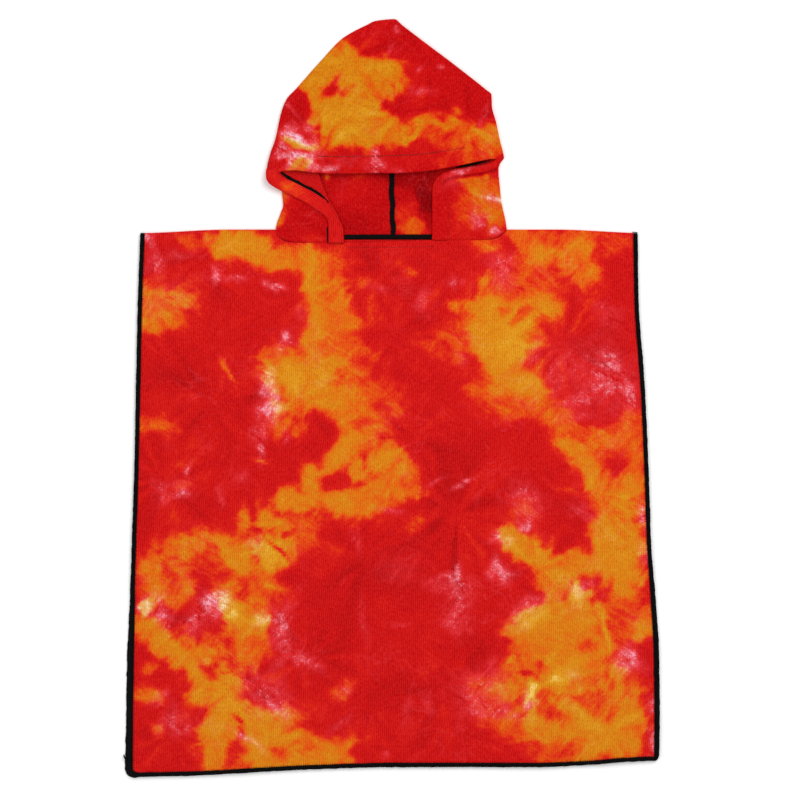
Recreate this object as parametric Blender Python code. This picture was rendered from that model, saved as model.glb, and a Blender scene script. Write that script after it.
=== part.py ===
"""Hooded bath poncho of terry cloth, laid flat with its hood opened out.

Front and back panels lie on each other, joined along the shoulders. The hood is one
piece of cloth with a seam down its back, spread so that its mouth faces up. Its left
front edge is turned back outwards, inside up. Lengths are in millimetres and are
turned into metres when a mesh is made. The garment lies on z = 0 with the hood
towards +Y and the wearer's front up.
"""
import math

import bmesh
import bpy
from mathutils import Vector

MM = 0.001

# Driving dimensions
CLOTH = 2.0            # thickness of the terry cloth
GAP = 0.3              # room between pieces at seams and between layers
HEM = 19.0             # width of the hood's turned-in hem
HEM_EXTRA = 1.6        # what the turned-in hem adds to the cloth's thickness
EDGE_WIDTH = 5.5       # width of the overlocked edge of the panels
SEAM_HEIGHT = 1.3      # height of an overlocked seam allowance lying on the cloth
SHOULDER_Y = 197.0     # the panels' top, along the shoulders
SHOULDER_DROP = 4.2    # how far the shoulders dip at their outer ends
SHOULDER_BEND = (190.0, 300.0)   # distances from the middle between which they dip
CORNER_LEFT = 19.0     # radius of the panels' lower left corner
CORNER_RIGHT = 8.0     # radius of their lower right corner
SEAM_X = -0.6          # the seam down the back of the hood
FRONT_Z = CLOTH + GAP  # underside of the layer above the back panel
BAND_Z = FRONT_Z + CLOTH + GAP   # underside of the turned-back band
LIFT_STEP = 0.1        # the front's heights are whole steps of this, so level cloth stays level
LEVEL_TOP = 60.0       # depth below the shoulders in which the front has no ridges
INNER_SEAM_WIDTH = 5.8           # overlocked seam allowances inside the hood
BACK_SEAM_TOP = 395.0            # how far up the hood its back seam's allowance lies flat
NECK_SEAM_RISE = 4.4             # middle of the neck's allowance, above the neck seam
BAND_SEAM_WIDTH = 3.5            # overlocked edge of the hood's hem

# Side edges of the panels: height on the garment, then each panel's left and right edge
SIDES = [
    # y, front left, front right, back left, back right
    (-432, -309.8, 311.0, -313.0, 311.6),
    (-377, -309.5, 311.2, -311.9, 312.8),
    (-306, -308.3, 310.6, -310.6, 312.2),
    (-236, -306.5, 307.1, -307.3, 308.0),
    (-166, -304.8, 302.4, -304.6, 302.0),
    (-96, -302.4, 300.1, -302.0, 299.6),
    (9, -300.1, 295.4, -299.8, 295.0),
    (115, -297.8, 288.0, -297.6, 287.7),
    (197, -294.8, 286.7, -294.7, 286.6),
]

# Lower edge of the panels, from left to right
HEMLINE = [
    # x, front y, back y
    (-312, -443.6, -443.8),
    (-225, -441.4, -441.2),
    (-169, -438.2, -437.4),
    (-113, -435.2, -434.0),
    (-57, -433.0, -431.4),
    (0, -431.7, -429.9),
    (112, -431.7, -429.9),
    (168, -431.7, -429.9),
    (224, -429.4, -427.6),
    (280, -425.2, -423.2),
    (312, -424.0, -422.2),
]

# Soft ridges of the front panel, each along a line
RIDGES = [
    # from x, from y, to x, to y, height, half width
    (150, -410, 310, -295, 2.0, 30),
    (235, -425, 318, -370, 1.6, 26),
    (120, -260, 215, -185, 1.1, 34),
    (-270, -330, -150, -420, 1.3, 40),
    (-230, 60, -120, -80, 1.0, 50),
    (60, 110, 170, 10, 0.9, 46),
    (-40, -180, 40, -330, 1.0, 50),
]

# Ribs of the hood, from the left end of the neck over the apex to the right end.
# mouth: point on the edge that frames the face; under: height of the cloth's underside
# there and at the outer crease; crease: outermost point, where the cloth folds under;
# seam: height on the garment where the rib meets the back seam; hem: 1 where the mouth
# edge is hemmed; sag: power of the bend that the neck gives the rib.
RIBS = [
    # mouth x, y, under, crease x, y, under, seam y, hem, sag
    (-57.0, 181.1, 2.3, -136.0, 189.5, 2.3, 185.2, 0.0, 8.0),
    (-58.5, 195.4, 2.3, -136.0, 200.1, 2.3, 197.7, 0.0, 3.0),
    (-64.5, 211.8, 2.3, -131.0, 215.9, 2.3, 211.8, 0.0, 1.0),
    (-72.5, 222.3, 2.3, -127.8, 225.8, 2.3, 222.3, 0.0, 1.0),
    (-79.5, 236.3, 2.3, -128.7, 235.2, 2.3, 232.8, 0.0, 1.0),
    (-90.0, 252.0, 2.3, -129.6, 241.6, 2.3, 241.0, 0.0, 1.0),
    (-112.0, 256.0, 2.3, -136.9, 246.9, 2.3, 247.5, 0.0, 1.0),
    (-134.0, 253.5, 2.3, -143.9, 251.5, 2.3, 252.1, 0.0, 1.0),
    (-139.5, 255.3, 5.0, -146.8, 255.8, 5.0, 256.2, 0.0, 1.0),
    (-137.5, 258.5, 9.2, -147.4, 262.1, 8.6, 263.2, 0.0, 1.0),
    (-129.3, 264.4, 9.2, -146.2, 272.6, 8.0, 273.8, 0.5, 1.0),
    (-114.1, 265.6, 8.6, -142.7, 286.6, 7.0, 287.8, 1.0, 1.0),
    (-90.7, 263.0, 7.1, -136.9, 303.0, 6.2, 304.2, 1.0, 1.0),
    (-67.3, 261.7, 5.9, -130.5, 332.3, 5.0, 332.3, 1.0, 1.0),
    (-54.0, 261.8, 5.8, -124.0, 349.2, 4.9, 348.0, 1.0, 1.0),
    (-43.9, 262.1, 5.8, -111.7, 362.7, 4.8, 362.7, 1.0, 1.0),
    (-26.3, 262.4, 5.8, -84.8, 393.1, 4.6, 391.9, 1.0, 1.0),
    (-14.6, 262.7, 5.7, -56.7, 421.8, 4.4, 416.5, 1.0, 1.0),
    (-7.6, 262.5, 5.7, -31.0, 435.8, 4.2, 428.2, 1.0, 1.0),
    (-5.0, 262.4, 5.7, -19.5, 441.0, 4.2, 433.0, 1.0, 1.0),
    (-2.0, 262.3, 5.7, 1.5, 443.1, 4.2, 437.5, 1.0, 1.0),
    (1.6, 262.3, 5.7, 12.3, 435.2, 4.2, 428.2, 1.0, 1.0),
    (8.8, 262.5, 5.7, 36.9, 416.5, 4.4, 414.2, 1.0, 1.0),
    (24.0, 263.5, 5.8, 69.6, 391.9, 4.6, 390.8, 1.0, 1.0),
    (43.9, 265.2, 5.8, 108.2, 361.5, 4.6, 362.4, 1.0, 1.0),
    (54.0, 266.9, 5.8, 115.8, 354.5, 4.6, 352.0, 1.0, 1.0),
    (64.9, 268.9, 5.8, 116.4, 340.5, 4.6, 339.3, 1.0, 1.0),
    (83.7, 272.6, 5.8, 121.1, 322.9, 4.8, 321.8, 1.0, 1.0),
    (102.4, 276.7, 5.6, 125.8, 300.7, 4.8, 301.9, 0.8, 1.0),
    (116.4, 279.3, 5.0, 129.3, 287.2, 4.6, 289.0, 0.2, 1.0),
    (121.5, 278.6, 4.6, 130.5, 280.8, 4.4, 280.8, 0.0, 1.0),
    (114.1, 275.3, 3.6, 125.8, 274.4, 3.4, 273.8, 0.2, 1.0),
    (98.9, 271.6, 2.8, 124.0, 266.8, 2.6, 265.6, 0.8, 1.0),
    (81.3, 269.2, 2.5, 124.4, 258.6, 2.3, 257.4, 1.0, 1.0),
    (64.3, 265.8, 2.4, 125.2, 250.4, 2.3, 248.0, 1.0, 1.0),
    (52.6, 259.0, 2.3, 126.0, 242.2, 2.3, 238.7, 1.0, 1.0),
    (46.8, 247.0, 2.3, 126.9, 232.8, 2.3, 229.3, 1.0, 1.0),
    (46.2, 231.7, 2.3, 129.3, 220.0, 2.3, 216.4, 1.0, 1.0),
    (46.2, 208.3, 2.3, 132.0, 208.3, 2.3, 201.2, 1.0, 3.0),
    (46.2, 184.2, 2.3, 134.0, 194.8, 2.3, 185.2, 1.0, 8.0),
]
APEX = 20              # index of the rib that runs up to the point of the hood
FRONT_STEPS = 12       # points of a rib on the front layer; the first three round its mouth edge
BACK_STEPS = 5         # stretches of a rib on the back layer

# Cross rows of the turned-back band, from the neck up to under the top of the hood
BAND = [
    # hemmed edge x, y, fold x, y
    (-74.9, 181.1, -56.2, 181.1),
    (-74.9, 196.0, -57.4, 196.0),
    (-75.2, 206.0, -62.5, 210.0),
    (-78.0, 211.5, -67.5, 220.0),
    (-84.0, 216.5, -73.5, 229.5),
    (-91.0, 221.5, -78.0, 240.0),
    (-101.0, 228.0, -82.5, 252.0),
    (-112.5, 234.0, -88.0, 268.0),
    (-124.0, 240.0, -98.0, 276.0),
    (-132.0, 245.0, -112.0, 279.0),
    (-135.4, 249.0, -124.0, 277.0),
    (-135.0, 252.5, -131.5, 270.0),
]
BAND_HEM = 16.0        # width of the hem's cloth that shows on the band
BAND_SEAM = (4.9, 10)  # rows of the band between which its overlocked hem edge lies


def hermite(table, key, column):
    """Value of a table's column at a key in its first column, smooth and with no overshoot."""
    count = len(table)
    i = max(0, min(count - 2, sum(1 for row in table if row[0] <= key) - 1))
    t = (key - table[i][0]) / (table[i + 1][0] - table[i][0])

    def slope(k):
        if k <= 0 or k >= count - 1:
            return None
        before = (table[k][column] - table[k - 1][column]) / (table[k][0] - table[k - 1][0])
        after = (table[k + 1][column] - table[k][column]) / (table[k + 1][0] - table[k][0])
        if before * after <= 0:
            return 0.0
        return 2 * before * after / (before + after)

    span = table[i + 1][0] - table[i][0]
    chord = (table[i + 1][column] - table[i][column]) / span
    start, end = slope(i), slope(i + 1)
    start = chord if start is None else start
    end = chord if end is None else end
    rise = table[i + 1][column] - table[i][column]
    return (table[i][column] + start * span * t
            + (3 * rise - (2 * start + end) * span) * t ** 2
            + ((start + end) * span - 2 * rise) * t ** 3)


def lerp(a, b, t):
    return a + (b - a) * t


def smoothstep(t):
    t = max(0.0, min(1.0, t))
    return t * t * (3 - 2 * t)


# Meshes and materials

def fabric(name, colour, roughness):
    material = bpy.data.materials.new(name)
    material.use_nodes = True
    shader = material.node_tree.nodes["Principled BSDF"]
    shader.inputs["Base Color"].default_value = (*colour, 1.0)
    shader.inputs["Roughness"].default_value = roughness
    shader.inputs["Metallic"].default_value = 0.0
    return material


def add_object(name, mesh, colour, roughness):
    """Finish a bmesh as a named object with its own material."""
    bmesh.ops.recalc_face_normals(mesh, faces=mesh.faces)
    data = bpy.data.meshes.new(name)
    mesh.to_mesh(data)
    mesh.free()
    data.shade_smooth()
    data.set_sharp_from_angle(angle=math.radians(50))
    data.materials.append(fabric(name, colour, roughness))
    bpy.context.collection.objects.link(bpy.data.objects.new(name, data))


def wall(name, upper, lower, colour, roughness=0.95):
    """Close a cloth given as two grids of points, one for each face, into a solid."""
    mesh = bmesh.new()
    skins = [[[mesh.verts.new(p * MM) for p in row] for row in grid] for grid in (upper, lower)]
    rim = {}
    for i in range(len(upper) - 1):
        for j in range(len(upper[0]) - 1):
            corners = [(i, j), (i, j + 1), (i + 1, j + 1), (i + 1, j)]
            mesh.faces.new([skins[0][a][b] for a, b in corners])
            mesh.faces.new([skins[1][a][b] for a, b in reversed(corners)])
            for start, end in zip(corners, corners[1:] + corners[:1]):
                if rim.pop((end, start), None) is None:
                    rim[(start, end)] = True
    for (a, b), (c, d) in rim:
        mesh.faces.new([skins[0][c][d], skins[0][a][b], skins[1][a][b], skins[1][c][d]])
    add_object(name, mesh, colour, roughness)


def bar(name, path, half_width, half_height, colour):
    """A flattened roll of thread along a path, with softly rounded ends."""
    # distance from the end, then the share of the full section there
    end_scale = [(0.0, 0.55), (0.5, 0.85), (1.5, 1.0)]
    first, last = path[0], path[-1]
    into_first = (path[1] - first).normalized()
    into_last = (path[-2] - last).normalized()
    centres = [(first + into_first * d, s) for d, s in end_scale]
    centres += [(p, 1.0) for p in path[1:-1]]
    centres += [(last + into_last * d, s) for d, s in reversed(end_scale)]
    outline = [(1.0, 0.45), (0.8, 1.0), (-0.8, 1.0), (-1.0, 0.45),
               (-1.0, -0.45), (-0.8, -1.0), (0.8, -1.0), (1.0, -0.45)]
    mesh = bmesh.new()
    rings = []
    for i, (centre, scale) in enumerate(centres):
        before = centres[max(i - 1, 0)][0]
        after = centres[min(i + 1, len(centres) - 1)][0]
        run = after - before
        across = Vector((run.y, -run.x, 0)).normalized()
        rings.append([mesh.verts.new((centre + across * (a * half_width * scale)
                                      + Vector((0, 0, b * half_height * scale))) * MM)
                      for a, b in outline])
    count = len(outline)
    for ring, following in zip(rings, rings[1:]):
        for k in range(count):
            mesh.faces.new([ring[k], ring[(k + 1) % count],
                            following[(k + 1) % count], following[k]])
    mesh.faces.new(rings[0])
    mesh.faces.new(list(reversed(rings[-1])))
    add_object(name, mesh, colour, 0.8)


# Colours, as the dyed cloth's mean tone and the black thread
DYED_RED = (0.62, 0.045, 0.012)
DYED_ORANGE = (0.68, 0.09, 0.012)
INSIDE_RED = (0.49, 0.006, 0.007)
BLACK_THREAD = (0.006, 0.005, 0.006)


# Panels

def panel_edges(is_front):
    """Functions for a panel's left, right and lower edge."""
    shift = 0 if is_front else 2

    def left(y):
        return hermite(SIDES, y, 1 + shift)

    def right(y):
        return hermite(SIDES, y, 2 + shift)

    def lower(x):
        return hermite(HEMLINE, x, 1 if is_front else 2)

    return left, right, lower


def rounded(x, y, edges, inset):
    """Move a point near a lower corner so that the corner is an arc."""
    left, right, lower = edges
    for side, radius in ((-1, CORNER_LEFT - inset), (1, CORNER_RIGHT - inset)):
        edge_x = left(y) + inset if side < 0 else right(y) - inset
        a = radius - (x - edge_x) * -side
        b = radius - (y - lower(x) - inset)
        if a > 0 and b > 0:
            scale = max(a, b) / math.hypot(a, b)
            return edge_x - side * (radius - a * scale), lower(x) + inset + radius - b * scale
    return x, y


def shoulder_drop(x):
    """How far the shoulder line dips towards its two outer ends."""
    inner, outer = SHOULDER_BEND
    return SHOULDER_DROP * smoothstep((abs(x) - inner) / (outer - inner))


def lift(x, y):
    """Height of the front panel's soft ridges, none near the neck and shoulders."""
    height = 0.0
    for x0, y0, x1, y1, top, half_width in RIDGES:
        along_x, along_y = x1 - x0, y1 - y0
        length = math.hypot(along_x, along_y)
        t = ((x - x0) * along_x + (y - y0) * along_y) / length ** 2
        distance = abs((x - x0) * along_y - (y - y0) * along_x) / length
        fade = smoothstep(1.5 - abs(t - 0.5) * 2)
        height += top * fade * smoothstep(1 - distance / (2 * half_width))
    height *= smoothstep((SHOULDER_Y - LEVEL_TOP - y) / LEVEL_TOP)
    return round(height / LIFT_STEP) * LIFT_STEP


def neck_points(hood_outer, is_front):
    """Points of the hood's lower edge, from its left crease to its right one."""
    left_end, right_end = hood_outer[0], hood_outer[-1]
    if is_front:
        left, right = left_end[:FRONT_STEPS], right_end[:FRONT_STEPS]
        points = list(reversed(left))
        points += [left[0].lerp(right[0], k / 5) for k in range(1, 5)]
        points += right
    else:
        points = left_end[-BACK_STEPS - 1:] + list(reversed(right_end[-BACK_STEPS - 1:]))
    return [(p.x, p.y - GAP) for p in points]


def panel(name, is_front, neck, colour):
    """One panel: flat cloth inside its overlocked edge, cut out along the neck points."""
    edges = panel_edges(is_front)
    left, right, lower = edges
    inset = EDGE_WIDTH + GAP
    neck_left, neck_right = RIBS[0][3] - 2 * GAP, RIBS[-1][3] + 2 * GAP
    from_edge = [0, 5, 12]
    side_steps = [k / 5 for k in range(6)]
    columns = [("left", d, 0.0) for d in from_edge[:-1]]
    columns += [("left", from_edge[-1], t) for t in side_steps]
    columns += [("neck", neck_left + 0.8 * GAP, neck[0][1])]
    columns += [("neck", x, y) for x, y in neck]
    columns += [("neck", neck_right - 0.8 * GAP, neck[-1][1])]
    columns += [("right", from_edge[-1], t) for t in reversed(side_steps)]
    columns += [("right", d, 0.0) for d in reversed(from_edge[:-1])]
    inner_rows = 15
    shoulder_steps = [2.0, 1.2, 0.4, 0.0]
    rows = [("low", d) for d in from_edge[:-1]]
    rows += [("inner", k / inner_rows) for k in range(inner_rows)]
    rows += [("top", d) for d in shoulder_steps]
    base = FRONT_Z if is_front else 0.0
    upper, under = [], []
    for row_kind, place in rows:
        upper.append([])
        under.append([])
        for zone, distance, value in columns:
            x = distance if zone == "neck" else {"left": -200.0, "right": 200.0}[zone]
            for _ in range(3):
                top = value if zone == "neck" else SHOULDER_Y - shoulder_drop(x)
                bottom = lower(x) + inset
                if row_kind == "low":
                    y = bottom + place
                elif row_kind == "top":
                    y = top - place
                else:
                    y = lerp(bottom + from_edge[-1], top - shoulder_steps[0], place)
                if zone == "left":
                    x = lerp(left(y) + inset + distance, neck_left, value)
                elif zone == "right":
                    x = lerp(right(y) - inset - distance, neck_right, value)
            x, y = rounded(x, y, edges, inset)
            z = base + (lift(x, y) if is_front else 0.0)
            high, low = z + CLOTH, z
            if row_kind == "top" and zone != "neck":
                nose = CLOTH * (1 - math.sqrt(1 - 0.98 * (1 - place / shoulder_steps[0]) ** 2))
                high -= nose if is_front else 0.0
                low += 0.0 if is_front else nose
            upper[-1].append(Vector((x, y, high)))
            under[-1].append(Vector((x, y, low)))
    wall(name, upper, under, colour)


def panel_edge_bars(prefix, is_front):
    """The overlocked edge of a panel: left side, hem and right side."""
    edges = panel_edges(is_front)
    left, right, lower = edges
    inset = EDGE_WIDTH / 2
    base = (FRONT_Z if is_front else 0.0) + CLOTH / 2

    def on_cloth(x, y):
        x, y = rounded(x, y, edges, inset)
        return Vector((x, y, base + (lift(x, y) if is_front else 0.0)))

    def side_path(edge, side, radius):
        bottom_x = edge(lower(edge(-430)))
        bottom = lower(bottom_x) + inset
        steps = 16
        top = SHOULDER_Y - shoulder_drop(edge(SHOULDER_Y)) - 1.2
        heights = [lerp(top, bottom + radius, k / steps) for k in range(steps + 1)]
        path = [on_cloth(edge(y) - side * inset, y) for y in heights]
        arc = 6
        for k in range(1, arc + 1):
            down, inward = min(1.0, 2 * k / arc), max(0.0, 2 * k / arc - 1)
            x = edge(bottom) - side * (inset + radius * inward)
            y = lower(x) + inset + radius * (1 - down)
            path.append(on_cloth(x, y))
        return path

    left_path = side_path(left, -1, CORNER_LEFT - inset)
    right_path = side_path(right, 1, CORNER_RIGHT - inset)
    start, end = left_path[-1].x + GAP, right_path[-1].x - GAP
    steps = 18
    hem_path = []
    for k in range(steps + 1):
        x = lerp(start, end, k / steps)
        hem_path.append(on_cloth(x, lower(x) + inset))
    for suffix, path in (("left", left_path), ("hem", hem_path), ("right", right_path)):
        bar(prefix + suffix, path, EDGE_WIDTH / 2, CLOTH / 2, BLACK_THREAD)


# Hood

def rib_shares(length):
    """Places along a rib's front layer: the rounded mouth edge, the hem, then even steps."""
    shares = [min(d / length, 0.1 * k) for k, d in enumerate((0.0, 0.7, 2.0))]
    hem_share = min(HEM / length, 0.5)
    shares += [max(hem_share * f, shares[-1] + 0.05 * (k + 1)) for k, f in enumerate((0.55, 0.8, 1))]
    even = FRONT_STEPS - len(shares)
    last = shares[-1]
    shares += [lerp(last, 1.0, (k + 1) / even) for k in range(even)]
    return shares, hem_share


def hood_grid():
    """The hood as one cloth: front layer, fold round the outer crease, back layer."""
    fold_steps = 5
    outer, inner = [], []
    for index, rib in enumerate(RIBS):
        mouth_x, mouth_y, mouth_z, crease_x, crease_y, crease_z, seam_y, hem, sag = rib
        before, after = RIBS[max(index - 1, 0)], RIBS[min(index + 1, len(RIBS) - 1)]
        run = Vector((after[3] - before[3], after[4] - before[4], 0)).normalized()
        outward = Vector((-run.y, run.x, 0))
        if index in (0, len(RIBS) - 1):
            outward = Vector((-1.0 if index == 0 else 1.0, 0, 0))
        inner_radius = (crease_z - CLOTH) / 2
        outer_radius = inner_radius + CLOTH
        centre = Vector((crease_x, crease_y, 0)) - outward * outer_radius
        mouth = Vector((mouth_x, mouth_y, 0))
        shares, hem_share = rib_shares((centre - mouth).length)
        outer.append([])
        inner.append([])
        for k, share in enumerate(shares):
            place = mouth.lerp(centre, share)
            place.y = lerp(mouth_y, centre.y, share ** sag)
            thick = CLOTH + (HEM_EXTRA * hem if share < hem_share * 0.9 else 0.0)
            nose = (0.3, 0.12)[k] * thick if k < 2 else 0.0
            z = lerp(mouth_z, crease_z, smoothstep(share))
            outer[-1].append(place + Vector((0, 0, z + thick - nose)))
            inner[-1].append(place + Vector((0, 0, z + nose)))
        hub = centre + Vector((0, 0, CLOTH + inner_radius))
        for k in range(1, fold_steps + 1):
            angle = math.pi * k / (fold_steps + 1)
            spoke = outward * math.sin(angle) + Vector((0, 0, math.cos(angle)))
            outer[-1].append(hub + spoke * outer_radius)
            inner[-1].append(hub + spoke * inner_radius)
        beside_seam = GAP / 2 * ((index > APEX) - (index < APEX))
        for k in range(BACK_STEPS + 1):
            share = k / BACK_STEPS
            place = centre.lerp(Vector((SEAM_X + beside_seam, seam_y, 0)), share)
            place.y = lerp(seam_y, centre.y, (1 - share) ** sag)
            outer[-1].append(place)
            inner[-1].append(place + Vector((0, 0, CLOTH)))
    return outer, inner


def band_row(key):
    """Hemmed edge and fold of the turned-back band at a row of its table."""
    along = [(k, *row) for k, row in enumerate(BAND)]
    hem_x, hem_y, fold_x, fold_y = (hermite(along, key, column) for column in range(1, 5))
    return Vector((hem_x, hem_y, 0)), Vector((fold_x, fold_y, 0))


def turned_band():
    """The left front edge of the hood, turned back outwards with its hem on top."""
    upper, under = [], []
    for step in range(2 * len(BAND) - 1):
        edge, fold = band_row(step / 2)
        width = (fold - edge).length
        hem_end = min(BAND_HEM, 0.85 * width)
        distances = [0.0, 0.7, 2.0, hem_end / 2, hem_end, hem_end + 0.4]
        distances += [lerp(hem_end + 0.4, width - 2.0, 0.5), width - 1.2, width - 0.4, width]
        upper.append([])
        under.append([])
        for k, distance in enumerate(distances):
            place = edge.lerp(fold, distance / width)
            thick = CLOTH + (HEM_EXTRA if distance <= hem_end else 0.0)
            nose = {0: 0.3, 1: 0.12, 8: 0.18, 9: 0.6}.get(k, 0.0) * thick
            upper[-1].append(place + Vector((0, 0, BAND_Z + thick - nose)))
            under[-1].append(place + Vector((0, 0, BAND_Z + (nose if k < 2 else 0.0))))
    wall("hood_turned_band", upper, under, DYED_ORANGE)
    half_width = BAND_SEAM_WIDTH / 2
    start, end = BAND_SEAM
    path = []
    for k in range(9):
        edge, fold = band_row(lerp(start, end, k / 8))
        distance = BAND_HEM + 0.6 + GAP + half_width
        path.append(edge + (fold - edge).normalized() * distance)
        path[-1].z = BAND_Z + CLOTH + GAP + SEAM_HEIGHT / 2
    bar("seam_hood_hem", path, half_width, SEAM_HEIGHT / 2, BLACK_THREAD)


def hood_seams():
    """Overlocked seam allowances inside the hood, lying on its back layer."""
    z = CLOTH + GAP + SEAM_HEIGHT / 2
    half_width = INNER_SEAM_WIDTH / 2
    neck_y = RIBS[0][6] + NECK_SEAM_RISE
    start_y = neck_y + half_width + 7 * GAP
    steps = 12
    waver = 0.5
    back_seam = [Vector((SEAM_X + waver * math.sin(k * 1.9), lerp(start_y, BACK_SEAM_TOP, k / steps), z))
                 for k in range(steps + 1)]
    bar("seam_hood_back", back_seam, half_width, SEAM_HEIGHT / 2, BLACK_THREAD)
    start_x, end_x = RIBS[0][0] + 2.2, RIBS[-1][0] - 0.8
    steps = 6
    neck_seam = [Vector((lerp(start_x, end_x, k / steps), neck_y, z)) for k in range(steps + 1)]
    bar("seam_neck_back", neck_seam, half_width, SEAM_HEIGHT / 2, BLACK_THREAD)


for old in list(bpy.data.objects):
    bpy.data.objects.remove(old, do_unlink=True)

hood_outer, hood_inner = hood_grid()
panel("back", False, neck_points(hood_outer, False), DYED_RED)
panel("front", True, neck_points(hood_outer, True), DYED_RED)
panel_edge_bars("edge_back_", False)
panel_edge_bars("edge_front_", True)
wall("hood", hood_outer, hood_inner, DYED_RED)
turned_band()
hood_seams()
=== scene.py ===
"""Hooded bath poncho of dyed terry cloth, laid flat on a table with its hood open.

The garment keeps the frame of its solids: the table is z = 0, the hood lies towards +Y
and the wearer's front faces up. Tables and sizes are in millimetres unless they say
otherwise, and turn into metres when a mesh is made.
"""

import math

import bmesh
import bpy
import numpy as np
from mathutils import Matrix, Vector
from mathutils.bvhtree import BVHTree


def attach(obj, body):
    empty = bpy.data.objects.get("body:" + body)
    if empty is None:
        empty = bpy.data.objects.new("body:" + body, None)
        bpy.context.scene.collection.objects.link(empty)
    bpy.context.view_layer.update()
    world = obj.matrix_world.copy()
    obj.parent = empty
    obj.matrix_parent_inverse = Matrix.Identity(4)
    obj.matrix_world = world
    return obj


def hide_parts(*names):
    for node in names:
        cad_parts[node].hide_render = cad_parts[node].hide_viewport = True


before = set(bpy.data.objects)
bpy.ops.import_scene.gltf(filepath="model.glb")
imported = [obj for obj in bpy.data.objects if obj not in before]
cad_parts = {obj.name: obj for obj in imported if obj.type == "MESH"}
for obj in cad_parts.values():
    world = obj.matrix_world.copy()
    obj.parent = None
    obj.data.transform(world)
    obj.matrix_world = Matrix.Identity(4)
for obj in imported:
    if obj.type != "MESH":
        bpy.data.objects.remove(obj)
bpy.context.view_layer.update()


# Back panel
# A straight-cut panel of dyed terry towelling that lies on the table. It carries the
# front along the shoulders and the hood along the neck.

MM = 0.001
CLOTH = 2.0              # thickness of the terry cloth
THREAD_WIDTH = 5.5       # cloth that the overlocked edge covers
THREAD_CLOTH = 1.0       # thickness to which the overlock presses the cloth
PRESS_SLOPE = 2.5        # width in which the pressed cloth rises again
EDGE_INSET = 1.0         # how far inside the thread the cloth itself ends
SHOULDER_Y = 197.0
SHOULDER_DROP = 4.2      # dip of the shoulders' outer ends
SHOULDER_BEND = (190.0, 300.0)     # from the middle: where the dip begins and ends
NECK = (-135.2, 133.2)   # where the shoulders run in under the hood's outer folds
NECK_TUCK = 0.8          # how far the panels reach into the neck seam
FRONT_NECK = ((-57.0, 181.1), (46.2, 184.2))     # bends of the front's neck seam, x and y
BACK_NECK = ((-0.6, 185.2), (-0.6, 185.2))
NECK_ENDS = ((-133.9, 189.5), (131.9, 194.8))    # where both neck seams end
NECK_TURN = 14           # how sharply they turn up there
CORNER = (10.0, 4.0)     # radius of the lower corners, left and right

SIDES = [
    # y, front left, front right, back left, back right
    (-432, -309.8, 311.0, -313.0, 311.6),
    (-377, -309.5, 311.2, -311.9, 312.8),
    (-306, -308.3, 310.6, -310.6, 312.2),
    (-236, -306.5, 307.1, -307.3, 308.0),
    (-166, -304.8, 302.4, -304.6, 302.0),
    (-96, -302.4, 300.1, -302.0, 299.6),
    (9, -300.1, 295.4, -299.8, 295.0),
    (115, -297.8, 288.0, -297.6, 287.7),
    (197, -294.8, 286.7, -294.7, 286.6),
]
HEMLINE = [
    # x, front y, back y
    (-312, -443.6, -443.8),
    (-225, -441.4, -441.2),
    (-169, -438.2, -437.4),
    (-113, -435.2, -434.0),
    (-57, -433.0, -431.4),
    (0, -431.7, -429.9),
    (112, -431.7, -429.9),
    (168, -431.7, -429.9),
    (224, -429.4, -427.6),
    (280, -425.2, -423.2),
    (312, -424.0, -422.2),
]


def smooth(t):
    """Soft step from 0 to 1."""
    t = np.clip(t, 0.0, 1.0)
    return t * t * (3 - 2 * t)


def curve(table, column, key=0):
    """A smooth function through a column of a table, with no overshoot."""
    keys = np.array([row[key] for row in table], float)
    values = np.array([row[column] for row in table], float)
    chord = np.diff(values) / np.diff(keys)
    slope = np.concatenate([chord[:1], np.zeros(len(chord) - 1), chord[-1:]])
    same_way = chord[:-1] * chord[1:] > 0
    slope[1:-1][same_way] = (2 * chord[:-1] * chord[1:])[same_way] / (chord[:-1] + chord[1:])[same_way]

    def at(x):
        i = np.clip(np.searchsorted(keys, x) - 1, 0, len(keys) - 2)
        span = keys[i + 1] - keys[i]
        t = (x - keys[i]) / span
        rise = values[i + 1] - values[i]
        return (values[i] + slope[i] * span * t
                + (3 * rise - (2 * slope[i] + slope[i + 1]) * span) * t ** 2
                + ((slope[i] + slope[i + 1]) * span - 2 * rise) * t ** 3)

    return at


def neck_line(x, front):
    """Height on the garment of the seam that joins a panel and the hood."""
    (left, left_y), (right, right_y) = FRONT_NECK if front else BACK_NECK
    (first, first_y), (last, last_y) = NECK_ENDS
    across = left_y + (right_y - left_y) * np.clip((x - left) / max(right - left, 1), 0, 1)
    to_left = np.clip((left - x) / (left - first), 0, 1)
    to_right = np.clip((x - right) / (last - right), 0, 1)
    return across + (first_y - left_y) * to_left ** NECK_TURN + (last_y - right_y) * to_right ** NECK_TURN


def panel_lines(front):
    """Left side, right side and hem of a panel, as functions."""
    columns = (1, 2) if front else (3, 4)
    return curve(SIDES, columns[0]), curve(SIDES, columns[1]), curve(HEMLINE, 1 if front else 2)


EDGE_ROWS = (0, 1.2, 2.6, 4.2, 6.0, 8.0)                 # rows of points in from the hem and sides
TOP_ROWS = (3.4, 2.4, 1.6, 1.0, 0.5, 0.2, 0.05, 0.0)     # rows of points below the top
SIDE_REACH = 165         # from a panel's side to the neck
PANEL_LENGTH = 630
START_X = 200.0          # where the sides' points start, before they settle between the outlines
SETTLING_ROUNDS = 3


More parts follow.
